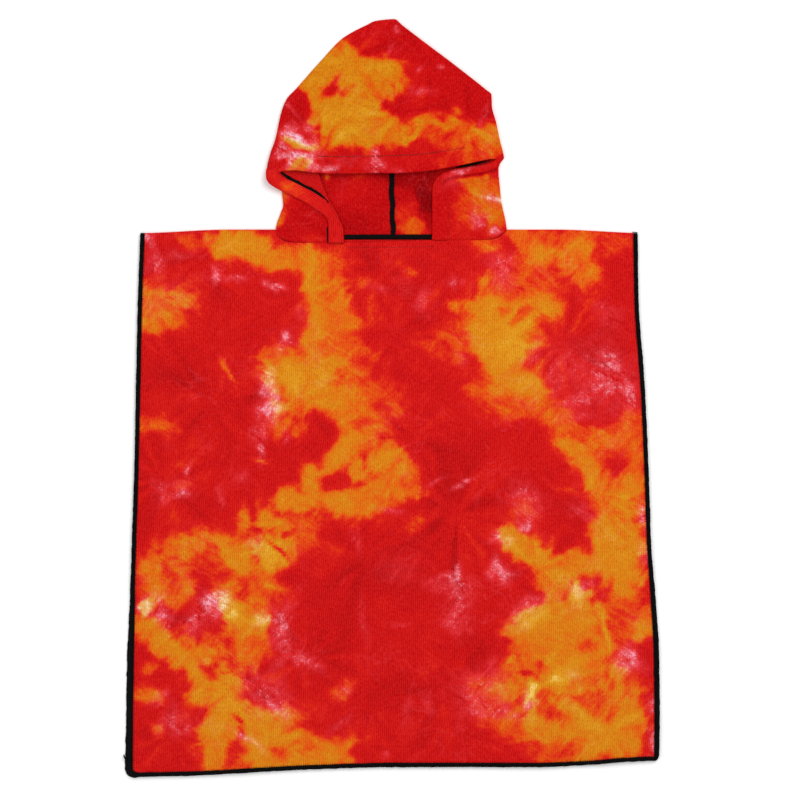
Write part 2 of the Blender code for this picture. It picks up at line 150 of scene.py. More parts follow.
def panel_grid(front, step):
    """Plan of a panel as a grid of points, with each point's distance to the hem and sides."""
    left, right, lower = panel_lines(front)
    side_count, neck_count = int(SIDE_REACH / step), int((NECK[1] - NECK[0]) / step)
    side_share = np.linspace(0, 1, side_count)
    edge_count, deepest = len(EDGE_ROWS) - 1, EDGE_ROWS[-1]
    zone = np.array(["left"] * (edge_count + side_count) + ["neck"] * neck_count
                    + ["right"] * (edge_count + side_count))
    from_side = np.concatenate([EDGE_ROWS, [deepest] * (side_count - 1), np.zeros(neck_count),
                                [deepest] * (side_count - 1), EDGE_ROWS[::-1]])
    share = np.concatenate([np.zeros(edge_count), side_share, np.zeros(neck_count),
                            side_share[::-1], np.zeros(edge_count)])
    x = np.where(zone == "left", -START_X, START_X)
    x[zone == "neck"] = np.linspace(NECK[0] + 0.1, NECK[1] - 0.1, neck_count)
    inner = np.linspace(0, 1, int(PANEL_LENGTH / step))
    top_start = edge_count + len(inner)
    x = np.tile(x, (top_start + len(TOP_ROWS) - 1, 1))
    for _ in range(SETTLING_ROUNDS):
        shoulder = SHOULDER_Y - SHOULDER_DROP * smooth((abs(x) - SHOULDER_BEND[0])
                                                       / (SHOULDER_BEND[1] - SHOULDER_BEND[0]))
        top = np.where(zone == "neck", neck_line(x, front) + NECK_TUCK, shoulder)
        bottom = lower(x) + EDGE_INSET
        y = np.empty_like(x)
        y[:edge_count] = bottom[:edge_count] + np.array(EDGE_ROWS[:-1])[:, None]
        body = slice(edge_count, top_start)
        first, last = bottom[body] + deepest, top[body] - TOP_ROWS[0]
        y[body] = first + (last - first) * inner[:, None]
        y[top_start:] = top[top_start:] - np.array(TOP_ROWS[1:])[:, None]
        side_left, side_right = left(y) + EDGE_INSET + from_side, right(y) - EDGE_INSET - from_side
        x = np.where(zone == "left", side_left + (NECK[0] - side_left) * share, x)
        x = np.where(zone == "right", side_right + (NECK[1] - side_right) * share, x)
    to_edge = np.minimum(np.minimum(x - left(y), right(y) - x), y - lower(x))
    for side, radius in ((-1, CORNER[0]), (1, CORNER[1])):
        edge_x = left(y) if side < 0 else right(y)
        a = radius - (x - edge_x) * -side
        b = radius - (y - lower(x))
        near = (a > 0) & (b > 0)
        reach = np.where(near, np.maximum(a, b) / np.hypot(a, np.where(near, b, 1)), 1)
        to_edge = np.where(near, radius - np.maximum(a, b), to_edge)
        x = np.where(near, edge_x - side * (radius - a * reach), x)
        y = np.where(near, lower(x) + radius - b * reach, y)
    return x, y, to_edge, top - y, zone[None, :] == "neck"


LATTICE = 128            # random values each way, after which a noise repeats


def soft_noise(u, v, size, seed):
    """Soft random field from -1 to 1 whose blots have the given size."""
    lattice = np.random.default_rng(seed).uniform(-1, 1, (LATTICE, LATTICE))
    a, b = u / size, v / size
    i, j = np.floor(a).astype(int), np.floor(b).astype(int)
    s, t = smooth(a - i), smooth(b - j)

    def corner(right, up):
        return lattice[(i + right) % LATTICE, (j + up) % LATTICE]

    return ((corner(0, 0) * (1 - s) + corner(1, 0) * s) * (1 - t)
            + (corner(0, 1) * (1 - s) + corner(1, 1) * s) * t)


def soft_noises(u, v, table, seed, start=0):
    """Sum of soft fields, one for each size and amount in a table, and what it starts with."""
    return sum((far * soft_noise(u, v, size, seed + k) for k, (size, far) in enumerate(table)), start)


# The dye's layouts are given in pixels of the photograph
PIXEL = 1.17                   # millimetres on the garment for one pixel
ORIGIN_PIXEL = (392.5, 398.0)  # pixel that shows the garment's origin
WANDER = [
    # size of the blots by which the dye's outlines wander, how far, both in pixels
    (46.0, 6.5),
    (17.0, 5.0),
    (8.0, 3.0),
    (4.5, 1.6),
]
CALM_WIDTH = 14                # places narrower than this, in pixels, wander less
RAYS = [
    # width at a place's outline of the strokes in which dye ran outwards, in pixels, their share
    (9.0, 0.13),
    (4.5, 0.17),
]
UP_SEED, RAY_SEED = 9, 20      # added to a layout's seed for its wandering up and for its rays
SOAK = 3.0                     # how much wider the dye's soft halo is feathered
SOAK_WIDEST = 0.95
SOAK_SHARE = 0.55


def pixels_of(x, y):
    """Pixels of the photograph that show places on the garment."""
    return x / PIXEL + ORIGIN_PIXEL[0], ORIGIN_PIXEL[1] - y / PIXEL


def dye_field(x, y, layout, start, seed):
    """Lay the places of a layout over each other, each an oval with a feathered outline.

    The outline wanders, runs out in strokes away from the middle, and has a soft halo.
    """
    u, v = pixels_of(x, y)
    move_u, move_v = soft_noises(u, v, WANDER, seed), soft_noises(u, v, WANDER, seed + UP_SEED)
    crisp, soaked = np.full(x.shape, float(start)), np.full(x.shape, float(start))
    for px, py, wide, high, turn, level, feather in layout:
        shrink = min(1.0, min(wide, high) / CALM_WIDTH)
        a, b = u + move_u * shrink - px, v + move_v * shrink - py
        angle = math.radians(turn)
        along = (a * math.cos(angle) + b * math.sin(angle)) / (wide / 2)
        across = (b * math.cos(angle) - a * math.sin(angle)) / (high / 2)
        reach = np.hypot(along, across) + 1e-6
        rim_u, rim_v = px + along / reach * wide / 2, py + across / reach * high / 2
        reach *= 1 + soft_noises(rim_u, rim_v, RAYS, seed + RAY_SEED)
        crisp += (level - crisp) * smooth((1 + feather - reach) / (2 * feather))
        wider = min(feather * SOAK, SOAK_WIDEST)
        soaked += (level - soaked) * smooth((1 + wider - reach) / (2 * wider))
    return crisp + (soaked - crisp) * SOAK_SHARE


BURST_RING = 22.0    # radius at which the strokes of a burst have their given widths, in pixels
BURST_WANDER = (19.0, 4.0)     # blots by which the strokes wander, and how far
BURST_STROKES = [
    # width of a burst's strokes at its ring, share
    (6.5, 1.0),
    (3.0, 0.6),
]
BURST_FADE = 1.4     # how late a burst fades


def bursts(x, y, knots, seed):
    """Strokes in which dye ran out from the places where the cloth was tied up."""
    u, v = pixels_of(x, y)
    size, sway = BURST_WANDER
    u = u + sway * soft_noise(u, v, size, seed)
    v = v + sway * soft_noise(u, v, size, seed + 1)
    field = np.zeros_like(x)
    for px, py, far, amount in knots:
        away = np.hypot(u - px, v - py) + 1e-6
        ring_u, ring_v = (u - px) / away * BURST_RING + px, (v - py) / away * BURST_RING + py
        stroke = soft_noises(ring_u, ring_v, BURST_STROKES, seed + 2)
        fade = smooth(BURST_FADE - BURST_FADE * away / far)
        field += amount * stroke * smooth(away / BURST_RING) * fade
    return field


def turn_outwards(mesh):
    """Point a closed mesh's faces outwards and shade it smooth."""
    shell = bmesh.new()
    shell.from_mesh(mesh)
    bmesh.ops.recalc_face_normals(shell, faces=shell.faces)
    shell.to_mesh(mesh)
    shell.free()
    mesh.shade_smooth()


def placed(name, data):
    """An object in the scene for a mesh, a lamp or a camera."""
    thing = bpy.data.objects.new(name, data)
    bpy.context.scene.collection.objects.link(thing)
    return thing


def cloth(name, outer, inner, marks):
    """Close two grids of points, one for each face of a cloth, into a piece with its marks."""
    rows, columns = outer[0].shape
    count = rows * columns
    places = np.concatenate([np.stack(face, -1).reshape(-1, 3) for face in (outer, inner)]) * MM
    index = np.arange(count).reshape(rows, columns)
    quads = np.stack([index[:-1, :-1], index[:-1, 1:], index[1:, 1:], index[1:, :-1]], -1).reshape(-1, 4)
    ring = np.concatenate([index[0, :-1], index[:-1, -1], index[-1, :0:-1], index[:0:-1, 0]])
    following = np.roll(ring, -1)
    rim = np.stack([following, ring, ring + count, following + count], -1)
    faces = np.concatenate([quads, quads[:, ::-1] + count, rim])
    mesh = bpy.data.meshes.new(name)
    mesh.from_pydata(places.tolist(), [], faces.tolist())
    for mark, (on_outer, on_inner) in marks.items():
        values = np.concatenate([on_outer.reshape(count, -1), on_inner.reshape(count, -1)])
        kind = "FLOAT" if values.shape[1] == 1 else "FLOAT_VECTOR"
        field = "value" if kind == "FLOAT" else "vector"
        mesh.attributes.new(mark, kind, "POINT").data.foreach_set(field, values.astype(np.float32).ravel())
    turn_outwards(mesh)
    return placed(name, mesh)


def put(tree, kind, sockets=None, **settings):
    """Add a node. A socket given another node's output is linked, or else takes the value."""
    node = tree.nodes.new(kind)
    for name, value in settings.items():
        setattr(node, name, value)
    for name, value in (sockets or {}).items():
        if isinstance(value, bpy.types.NodeSocket):
            tree.links.new(value, node.inputs[name])
        else:
            node.inputs[name].default_value = value
    return node


def math_node(tree, operation, a, b=0.0, c=0.0, clamp=False):
    """Output of a Math node with the given operation."""
    sockets = {0: a, 1: b, 2: c}
    return put(tree, "ShaderNodeMath", sockets, operation=operation, use_clamp=clamp).outputs[0]


def product(tree, a, b):
    """One value times another."""
    return math_node(tree, "MULTIPLY", a, b)


def scaled(tree, value, factor, plus, clamp=False):
    """A value times a factor, and something added."""
    return math_node(tree, "MULTIPLY_ADD", value, factor, plus, clamp)


def noise(tree, place, scale, detail, roughness=0.6, distortion=0.0):
    """Noise around zero, from about -0.4 to 0.4."""
    made = put(tree, "ShaderNodeTexNoise", {"Vector": place, "Scale": scale, "Detail": detail,
                                            "Roughness": roughness, "Distortion": distortion})
    return math_node(tree, "SUBTRACT", made.outputs["Fac"], 0.5)


def from_range(tree, value, low, high):
    """Soft share of the way that a value has come from low to high."""
    sockets = {"Value": value, "From Min": low, "From Max": high}
    return put(tree, "ShaderNodeMapRange", sockets, interpolation_type="SMOOTHSTEP").outputs["Result"]


def mixed(tree, share, a, b, way="MIX"):
    """The colour a with a share of the colour b."""
    sockets = {0: share, 6: a, 7: b}
    return put(tree, "ShaderNodeMix", sockets, data_type="RGBA", blend_type=way).outputs[2]


def srgb(red, green, blue):
    """A colour as a monitor shows it, in 0 to 255, as the light it stands for."""
    return tuple(((c / 255 + 0.055) / 1.055) ** 2.4 if c > 10 else c / 255 / 12.92
                 for c in (red, green, blue)) + (1.0,)


def new_group(name, inputs, outputs):
    """A shader group with named sockets. Returns it with its two end nodes."""
    group = bpy.data.node_groups.new(name, "ShaderNodeTree")
    for socket, kind, value in inputs:
        made = group.interface.new_socket(socket, in_out="INPUT", socket_type=kind)
        if value is not None:
            made.default_value = value
    for socket, kind in outputs:
        group.interface.new_socket(socket, in_out="OUTPUT", socket_type=kind)
    return group, group.nodes.new("NodeGroupInput").outputs, group.nodes.new("NodeGroupOutput").inputs


DYE_TONES = [
    # amount of gold dye over the red, then the cloth's colour there
    # The deepest stop serves mostly the painted shade inside the hood and at the lip's foot
    (-0.80, (136, 0, 6)),
    (-0.50, (160, 1, 6)),
    (-0.20, (181, 4, 10)),
    (0.05, (197, 9, 13)),
    (0.25, (208, 22, 16)),
    (0.42, (217, 48, 13)),
    (0.68, (220, 86, 10)),
    (1.00, (212, 126, 14)),
    (1.28, (218, 149, 27)),
    (1.55, (240, 208, 108)),
]
DYE_GRAINS = [
    # how finely the dye took unevenly (blots per metre), detail, distortion, amount
    (16.0, 4.0, 0.8, 0.50),
    (48.0, 5.0, 1.2, 0.60),
    (130.0, 4.0, 0.8, 0.40),
    (380.0, 3.0, 0.0, 0.45),
]
STROKE_TURNS = (0.95, -0.6)    # the two ways in which the tied cloth drew the dye out
COARSE_STROKES = (120.0, 3.5)  # strokes per metre, how much longer than wide
FINE_STROKES = (360.0, 4.5)
STROKE_SHARES = (0.80, 0.28)   # how much the coarse and the fine ones change the amount of dye
STROKE_GRAIN = (3.0, 0.62, 0.9)    # detail, roughness and distortion of both
# Noises of the dye: blots per metre, detail, and where it counts roughness and distortion
DOTS = (560.0, 2.0, 0.7)
STROKE_PLACES = (13.0, 2.0)
VEINS = (21.0, 4.0, 0.6, 1.3)
VEIN_PLACES = (11.0, 2.0)
PATCHES = (105.0, 5.0, 0.7, 1.0)
BLOTS = (190.0, 3.0)
THIN_DYE = (srgb(233, 64, 76), srgb(236, 172, 92))        # thinly dyed cloth, by the red and the gold
BARE_CLOTH = (srgb(238, 192, 208), srgb(240, 218, 180))   # undyed cloth, by the red and the gold


def strokes(tree, place, kind, swap_over):
    """Noise drawn out into strokes, some of them one way and some the other way."""
    scale, longer = kind
    ways = []
    for turn in STROKE_TURNS:
        drawn = put(tree, "ShaderNodeMapping", {"Vector": place, "Rotation": (0.0, 0.0, turn),
                                                "Scale": (longer, 1.0, 1.0)}, vector_type="TEXTURE")
        ways.append(noise(tree, drawn.outputs[0], scale, *STROKE_GRAIN))
    return scaled(tree, math_node(tree, "SUBTRACT", ways[1], ways[0]), swap_over, ways[0])


def build_dye_bath():
    """Colour of the dyed cloth from its gold dye and the share that was left undyed."""
    floats = "NodeSocketFloat"
    tree, given, made = new_group(
        "dye_bath",
        [("Dye", floats, 0.0), ("Bleach", floats, 0.0), ("Place", "NodeSocketVector", None)],
        [("Colour", "NodeSocketColor"), ("Gold", floats)],
    )
    place, dye, undyed = given["Place"], given["Dye"], given["Bleach"]
    dots = noise(tree, place, *DOTS)
    swap_over = from_range(tree, noise(tree, place, *STROKE_PLACES), -0.08, 0.08)
    coarse = strokes(tree, place, COARSE_STROKES, swap_over)
    fine = strokes(tree, place, FINE_STROKES, swap_over)
    uneven = scaled(tree, fine, STROKE_SHARES[1], product(tree, coarse, STROKE_SHARES[0]))
    for scale, detail, distortion, share in DYE_GRAINS:
        grain = noise(tree, place, scale, detail, distortion=distortion)
        uneven = scaled(tree, grain, share, uneven)
    # The dyes mingle most where they meet, and less where the red or the gold has settled
    mingling = scaled(tree, from_range(tree, dye, 0.0, 0.45), 0.5, 0.5)
    settled = scaled(tree, from_range(tree, dye, 0.7, 1.05), -0.45, 1.0)
    amount = scaled(tree, uneven, product(tree, mingling, settled), dye)
    low, high = DYE_TONES[0][0], DYE_TONES[-1][0]
    along_ramp = put(tree, "ShaderNodeMapRange", {"Value": amount, "From Min": low, "From Max": high})
    ramp = put(tree, "ShaderNodeValToRGB", {"Fac": along_ramp.outputs["Result"]})
    for k, (tone, colour) in enumerate(DYE_TONES):
        position = (tone - low) / (high - low)
        stop = ramp.color_ramp.elements[k] if k < 2 else ramp.color_ramp.elements.new(position)
        stop.position = position
        stop.color = srgb(*colour)
    gold = from_range(tree, amount, 0.5, 1.1)
    # The dye is thin in patches of the undyed places, and in some strokes and fine veins
    tint = mixed(tree, gold, *THIN_DYE)
    ridge = math_node(tree, "ABSOLUTE", noise(tree, place, *VEINS))
    vein = from_range(tree, scaled(tree, dots, 0.05, ridge), 0.035, 0.0)
    vein = product(tree, vein, from_range(tree, noise(tree, place, *VEIN_PLACES), 0.0, 0.12))
    wisp = scaled(tree, from_range(tree, coarse, 0.08, 0.30), 0.15, product(tree, vein, 0.17))
    patchy = scaled(tree, noise(tree, place, *PATCHES), 2.2, 0.52)
    patchy = scaled(tree, coarse, 2.2, patchy, clamp=True)
    bare = product(tree, undyed, patchy)
    tinted = scaled(tree, bare, 1.2, wisp, clamp=True)
    colour = mixed(tree, tinted, ramp.outputs["Color"], tint)
    # Bare cloth shows as streaks, and whole in the middle of an undyed place
    blots = scaled(tree, noise(tree, place, *BLOTS), 0.55, product(tree, fine, 0.30))
    streaky = scaled(tree, dots, 0.6, blots)
    reach = scaled(tree, bare, 0.20, -0.13)
    streak = from_range(tree, math_node(tree, "ADD", streaky, reach), -0.03, 0.10)
    streak = product(tree, streak, from_range(tree, undyed, 0.08, 0.55))
    core = product(tree, from_range(tree, undyed, 0.5, 1.4), patchy)
    pale_share = product(tree, streak, scaled(tree, undyed, 0.3, 0.12))
    pale_share = scaled(tree, core, 0.55, pale_share, clamp=True)
    pale = mixed(tree, gold, *BARE_CLOTH)
    tree.links.new(mixed(tree, pale_share, colour, pale), made["Colour"])
    tree.links.new(gold, made["Gold"])
    return tree


COLUMN_PITCH = 0.0023    # from one column of terry loops to the next, in metres
COLUMN_SWAY = 0.0035     # how far the columns sway, in metres
LOOP_STRETCH = 0.42      # a loop's width as a share of its length
# Noises of the cloth: grains per metre, detail, and where it counts roughness
SWAY = (60.0, 2.0)
LOOPS = (640.0, 2.0)
NAP = (330.0, 3.0, 0.65)


def build_terry_loops():
    """Height of the terry loops and the shade between their columns."""
    floats = "NodeSocketFloat"
    tree, given, made = new_group(
        "terry_loops",
        [("Place", "NodeSocketVector", None), ("Columns", floats, 0.6)],
        [("Height", floats), ("Shade", floats), ("Gap shade", floats)],
    )
    place = given["Place"]
    split = put(tree, "ShaderNodeSeparateXYZ", {0: place})
    sideways = scaled(tree, noise(tree, place, *SWAY), COLUMN_SWAY, split.outputs[0])
    column = math_node(tree, "SINE", product(tree, sideways, 2 * math.pi / COLUMN_PITCH))
    column = scaled(tree, column, 0.5, 0.5)
    long_cells = put(tree, "ShaderNodeMapping", {"Vector": place, "Scale": (1.0, LOOP_STRETCH, 1.0)})
    loops = noise(tree, long_cells.outputs[0], *LOOPS)
    nap = noise(tree, place, *NAP)
    rib = product(tree, column, given["Columns"])
    height = scaled(tree, rib, 0.5, math_node(tree, "ADD", loops, nap))
    between = scaled(tree, rib, -0.9, 1.0)
    tree.links.new(height, made["Height"])
    tree.links.new(from_range(tree, height, -0.30, 0.55), made["Shade"])
    # Where painted shade falls in the gaps between loops, least on the columns' ridges
    tree.links.new(product(tree, from_range(tree, loops, -0.02, 0.18), between), made["Gap shade"])
    return tree


dye_bath = build_dye_bath()
terry_loops = build_terry_loops()


def new_material(name, roughness, specular=0.5):
    """A material, its node tree and its shader with the values that are the same all over."""
    material = bpy.data.materials.new(name)
    material.use_nodes = True
    shader = material.node_tree.nodes["Principled BSDF"]
    shader.inputs["Roughness"].default_value = roughness
    shader.inputs["Specular IOR Level"].default_value = specular
    return material, material.node_tree, shader


LOOP_LIGHT = (0.34, 0.80)      # how much high loops lighten the dye, and the light left below them
GAP_SHADE = (0.26, 0.24)        # painted shade in the gaps between the loops: what gold adds, and what all have
# colour of the painted shade in the gaps between the loops
GAP_SHADE_TONE = srgb(112, 16, 4)
LOOP_HIGHLIGHT = 0.016                  # share of the painted highlight on the highest loops
LOOP_HIGHLIGHT_TONE = srgb(250, 190, 170)


def dyed_terry(name, columns):
    """Matt looped cotton in the dye's colours, its columns of loops more or less plain."""
    material, tree, shader = new_material(name, 0.95, 0.04)
    weave = put(tree, "ShaderNodeAttribute", attribute_name="weave").outputs["Vector"]
    dye, bleach = (put(tree, "ShaderNodeAttribute", attribute_name=mark).outputs["Fac"]
                   for mark in ("dye", "bleach"))
    bath = put(tree, "ShaderNodeGroup", {"Dye": dye, "Bleach": bleach, "Place": weave},
               node_tree=dye_bath)
    loops = put(tree, "ShaderNodeGroup", {"Place": weave, "Columns": columns}, node_tree=terry_loops)
    lit = scaled(tree, loops.outputs["Shade"], *LOOP_LIGHT)
    grey = put(tree, "ShaderNodeCombineColor", {0: lit, 1: lit, 2: lit}).outputs[0]
    colour = mixed(tree, 1.0, bath.outputs["Colour"], grey, "MULTIPLY")
    # Painted shade in the gaps between the loops, deeper on gold
    gap_shade = product(tree, loops.outputs["Gap shade"], scaled(tree, bath.outputs["Gold"], *GAP_SHADE))
    colour = mixed(tree, gap_shade, colour, GAP_SHADE_TONE)
    # Painted highlight on the highest loops
    painted_highlight = product(tree, from_range(tree, loops.outputs["Shade"], 0.45, 0.85), LOOP_HIGHLIGHT)
    tree.links.new(mixed(tree, painted_highlight, colour, LOOP_HIGHLIGHT_TONE), shader.inputs["Base Color"])
    bump = put(tree, "ShaderNodeBump", {"Strength": 0.5, "Distance": 0.0007,
                                        "Height": loops.outputs["Height"]})
    tree.links.new(bump.outputs[0], shader.inputs["Normal"])
    return material


FRONT_DYE = [
    # pixel x, y, width, height, turn, gold dye, feather
    # left shoulder and below the neck
    (222, 246, 36, 40, 10, 1.0, 0.25), (250, 244, 32, 36, 0, 1.05, 0.25), (268, 261, 58, 24, 10, 1.0, 0.3),
    (303, 272, 22, 34, 0, 0.95, 0.35), (196, 236, 26, 14, 20, 0.5, 0.6), (300, 256, 64, 28, 6, 0.78, 0.4),
    (316, 282, 28, 66, 4, 1.05, 0.3), (334, 272, 22, 52, 8, 0.58, 0.5), (331, 309, 48, 46, 0, 0.98, 0.3),
    (342, 313, 20, 24, 0, 0.8, 0.4), (305, 316, 16, 14, 0, 0.2, 0.4), (362, 284, 40, 10, -8, 0.35, 0.6),
    (356, 262, 34, 8, 10, 0.35, 0.6),
    # left of the middle
    (324, 344, 42, 38, 0, 0.95, 0.3), (342, 352, 60, 22, 20, 0.6, 0.5), (308, 378, 88, 52, 4, 1.0, 0.2),
    (286, 402, 32, 22, 0, 0.9, 0.4), (276, 357, 26, 18, -20, 0.6, 0.5), (340, 376, 22, 15, 0, 0.5, 0.5),
    (259, 386, 22, 32, 0, 0.15, 0.35), (346, 404, 52, 38, 40, 0.95, 0.3), (368, 414, 52, 62, 0, 0.7, 0.5),
    (358, 434, 42, 52, 0, 0.85, 0.35), (284, 425, 34, 30, 0, 0.7, 0.4), (322, 438, 37, 42, 20, 0.0, 0.2),
    (340, 450, 22, 46, 25, 0.95, 0.3), (317, 475, 26, 38, 0, 1.0, 0.3), (295, 493, 24, 20, 25, 0.9, 0.4),
    (386, 472, 44, 52, 0, 1.0, 0.25), (404, 479, 44, 34, 10, 0.95, 0.3), (338, 482, 29, 24, 30, 0.05, 0.3),
    (356, 470, 14, 26, 0, 0.95, 0.4), (361, 420, 18, 12, 0, 0.4, 0.5), (384, 404, 20, 46, 5, 0.45, 0.5),
    # left chest and left side
    (166, 308, 54, 46, -10, 0.72, 0.35), (150, 297, 24, 24, 0, 0.78, 0.4),
    (157, 325, 34, 18, -25, 0.8, 0.45), (184, 304, 30, 22, 25, 0.78, 0.4), (158, 424, 42, 15, 0, 0.6, 0.6),
    (173, 489, 24, 12, -20, 0.45, 0.5), (260, 462, 14, 4, 20, 0.8, 0.5), (229, 371, 28, 6, 55, 0.75, 0.5),
    # right shoulder and right of the neck
    (530, 250, 44, 46, -10, 0.85, 0.4), (574, 263, 52, 32, 52, 0.92, 0.35), (548, 284, 14, 24, 0, 0.15, 0.5),
    (520, 287, 84, 26, 8, 0.55, 0.5), (578, 246, 28, 22, 0, 0.95, 0.35), (612, 244, 30, 20, 0, 0.5, 0.5),
    (556, 236, 96, 12, 0, 0.65, 0.5), (488, 247, 34, 14, 0, 0.65, 0.5), (510, 247, 16, 22, -30, 0.0, 0.4),
    (510, 272, 30, 28, 0, 0.4, 0.6), (479, 284, 15, 17, 0, 0.95, 0.4), (452, 307, 18, 11, 10, 0.85, 0.5),
    (449, 340, 22, 9, 15, 0.7, 0.4), (402, 270, 14, 13, 0, 0.6, 0.6), (426, 300, 16, 24, 20, 0.4, 0.6),
    (462, 357, 14, 15, 0, 0.45, 0.6),
    # right chest
    (498, 336, 100, 90, 0, 0.5, 0.25), (500, 318, 66, 46, 0, 1.0, 0.2), (540, 309, 46, 24, 15, 0.9, 0.4),
    (500, 350, 54, 52, 0, 1.08, 0.22), (514, 382, 62, 38, 10, 1.0, 0.25), (531, 396, 40, 26, 40, 0.9, 0.4),
    (505, 309, 12, 9, 0, 0.5, 0.6), (521, 315, 16, 10, -20, 0.4, 0.5), (470, 366, 20, 24, 0, 0.15, 0.4),
    (521, 408, 68, 24, 5, 0.6, 0.5), (476, 387, 18, 12, -30, 0.5, 0.5), (556, 350, 40, 44, 0, 0.1, 0.3),
    # right side above the waist
    (565, 423, 44, 16, 10, 0.6, 0.5), (592, 468, 74, 31, 48, 0.95, 0.35), (600, 436, 32, 22, 0, 0.85, 0.4),
    (631, 432, 28, 38, -10, 0.65, 0.45), (628, 472, 46, 76, 0, 0.85, 0.35), (576, 447, 28, 16, 10, 0.9, 0.4),
    (618, 452, 34, 12, 5, 0.45, 0.5), (620, 463, 28, 17, 10, 0.12, 0.4), (568, 493, 22, 10, 10, 0.6, 0.5),
    # lower left
    (216, 554, 76, 41, 6, 1.0, 0.25), (160, 576, 48, 54, 10, 0.86, 0.3), (240, 566, 32, 26, 20, 0.9, 0.3),
    (185, 594, 30, 44, 0, 0.9, 0.4), (171, 577, 12, 32, -15, 0.45, 0.5), (206, 565, 24, 36, -10, 0.3, 0.35),
    (225, 572, 18, 14, 0, 0.25, 0.4), (207, 602, 36, 44, 10, 0.05, 0.3), (227, 590, 34, 24, 10, 0.85, 0.35),
    (145, 604, 24, 15, 0, 1.35, 0.4), (166, 611, 24, 15, 40, 0.05, 0.4), (150, 623, 42, 22, 15, 1.0, 0.35),
    (140, 634, 16, 14, 0, 0.6, 0.5), (184, 633, 38, 42, 20, 0.0, 0.22), (181, 655, 76, 22, 32, 1.0, 0.3),
    (206, 669, 72, 38, 42, 1.06, 0.3), (224, 701, 68, 42, 42, 1.06, 0.3), (262, 719, 100, 60, 40, 1.06, 0.3),
    (216, 735, 36, 78, 0, 0.95, 0.3), (262, 758, 96, 34, 0, 0.98, 0.3), (300, 761, 46, 20, 0, 0.9, 0.35),
    (226, 640, 34, 24, 0, 0.75, 0.4), (229, 638, 20, 16, 0, 0.5, 0.5), (251, 637, 32, 66, 0, 0.95, 0.3),
    (254, 642, 26, 20, 0, 0.68, 0.4), (259, 620, 16, 14, 0, 1.35, 0.4), (212, 668, 25, 13, 45, 0.3, 0.35),
    (266, 592, 44, 30, 10, 0.65, 0.5), (284, 540, 24, 52, 0, 1.0, 0.3), (266, 556, 28, 42, -10, 1.36, 0.3),
    (278, 552, 30, 4, 43, 0.1, 0.6), (286, 536, 12, 11, 0, 0.0, 0.4), (270, 522, 32, 9, -10, 1.2, 0.5),
    (240, 519, 14, 24, 0, 0.75, 0.5), (267, 515, 20, 20, -30, 0.9, 0.4), (301, 498, 46, 20, 0, 0.95, 0.3),
    (350, 502, 60, 26, 5, 1.0, 0.3), (307, 529, 34, 44, 0, 0.6, 0.5), (279, 637, 22, 62, 0, 0.05, 0.35),
    (268, 688, 46, 38, 40, 0.0, 0.3), (340, 687, 22, 15, 0, 0.62, 0.6), (334, 752, 46, 32, 0, 0.92, 0.35),
    (232, 756, 17, 24, 0, 0.3, 0.4), (284, 749, 17, 15, 0, 0.5, 0.5), (238, 720, 13, 4, 38, 0.1, 0.6),
    (149, 665, 20, 9, -30, 0.7, 0.5), (147, 687, 28, 19, 0, 0.85, 0.45), (161, 729, 13, 15, 20, 0.65, 0.5),
    # middle
    (410, 497, 44, 17, 0, 0.92, 0.35), (417, 528, 9, 22, 20, 0.5, 0.6), (521, 509, 34, 28, 30, 0.45, 0.5),
    # right side below the waist
    (620, 547, 60, 110, 0, 1.0, 0.22), (594, 558, 46, 42, 0, 0.98, 0.25), (564, 516, 58, 59, 0, 0.05, 0.22),
    (524, 547, 47, 31, 35, 1.0, 0.2), (523, 579, 37, 37, 45, -0.05, 0.2), (583, 546, 16, 16, 0, 0.12, 0.4),
    (556, 566, 52, 34, 15, 1.0, 0.3), (560, 640, 95, 93, 0, 0.95, 0.1), (531, 613, 34, 19, -40, 1.25, 0.45),
    (579, 594, 20, 20, 0, 1.4, 0.45), (591, 582, 14, 24, 10, 0.1, 0.35), (626, 622, 56, 46, 0, 0.5, 0.35),
    (642, 634, 32, 32, 0, 0.98, 0.4), (604, 630, 4, 44, -12, 1.2, 0.5), (600, 660, 38, 22, 0, 0.8, 0.4),
    (618, 677, 28, 14, 30, 0.9, 0.4), (548, 587, 30, 20, 0, 1.0, 0.35), (611, 659, 15, 13, 0, 0.3, 0.5),
    (628, 656, 18, 20, -20, 0.2, 0.4), (650, 662, 20, 40, 0, 0.0, 0.35), (586, 641, 14, 11, 0, 0.5, 0.5),
    (541, 661, 11, 15, 0, 0.5, 0.5),
    # lower right
    (488, 691, 44, 46, 0, 0.55, 0.5), (592, 724, 132, 84, 0, 1.06, 0.25), (636, 722, 26, 70, 0, 0.95, 0.35),
    (509, 686, 40, 32, 0, 0.88, 0.35), (533, 690, 14, 26, 0, 1.6, 0.35), (558, 675, 28, 9, 0, 1.2, 0.5),
    (549, 708, 44, 19, 30, 0.4, 0.4), (596, 706, 44, 24, 35, 0.42, 0.4), (655, 712, 10, 24, 0, 0.15, 0.4),
    (556, 748, 48, 22, 0, 0.4, 0.4), (504, 724, 52, 20, 10, 0.6, 0.4), (654, 742, 10, 24, 0, 0.25, 0.4),
    # last touches, most of them of deeper red
    (246, 765, 16, 12, 0, 0.4, 0.5), (367, 577, 44, 34, 0, -0.13, 0.8), (395, 692, 64, 26, -15, -0.13, 0.8),
    (352, 614, 24, 40, 15, -0.1, 0.8), (478, 655, 40, 30, 0, -0.12, 0.8), (258, 397, 20, 12, -20, -0.2, 0.6),
    (166, 380, 50, 30, 0, -0.08, 0.8), (228, 609, 28, 24, 0, 1.45, 0.4),
]
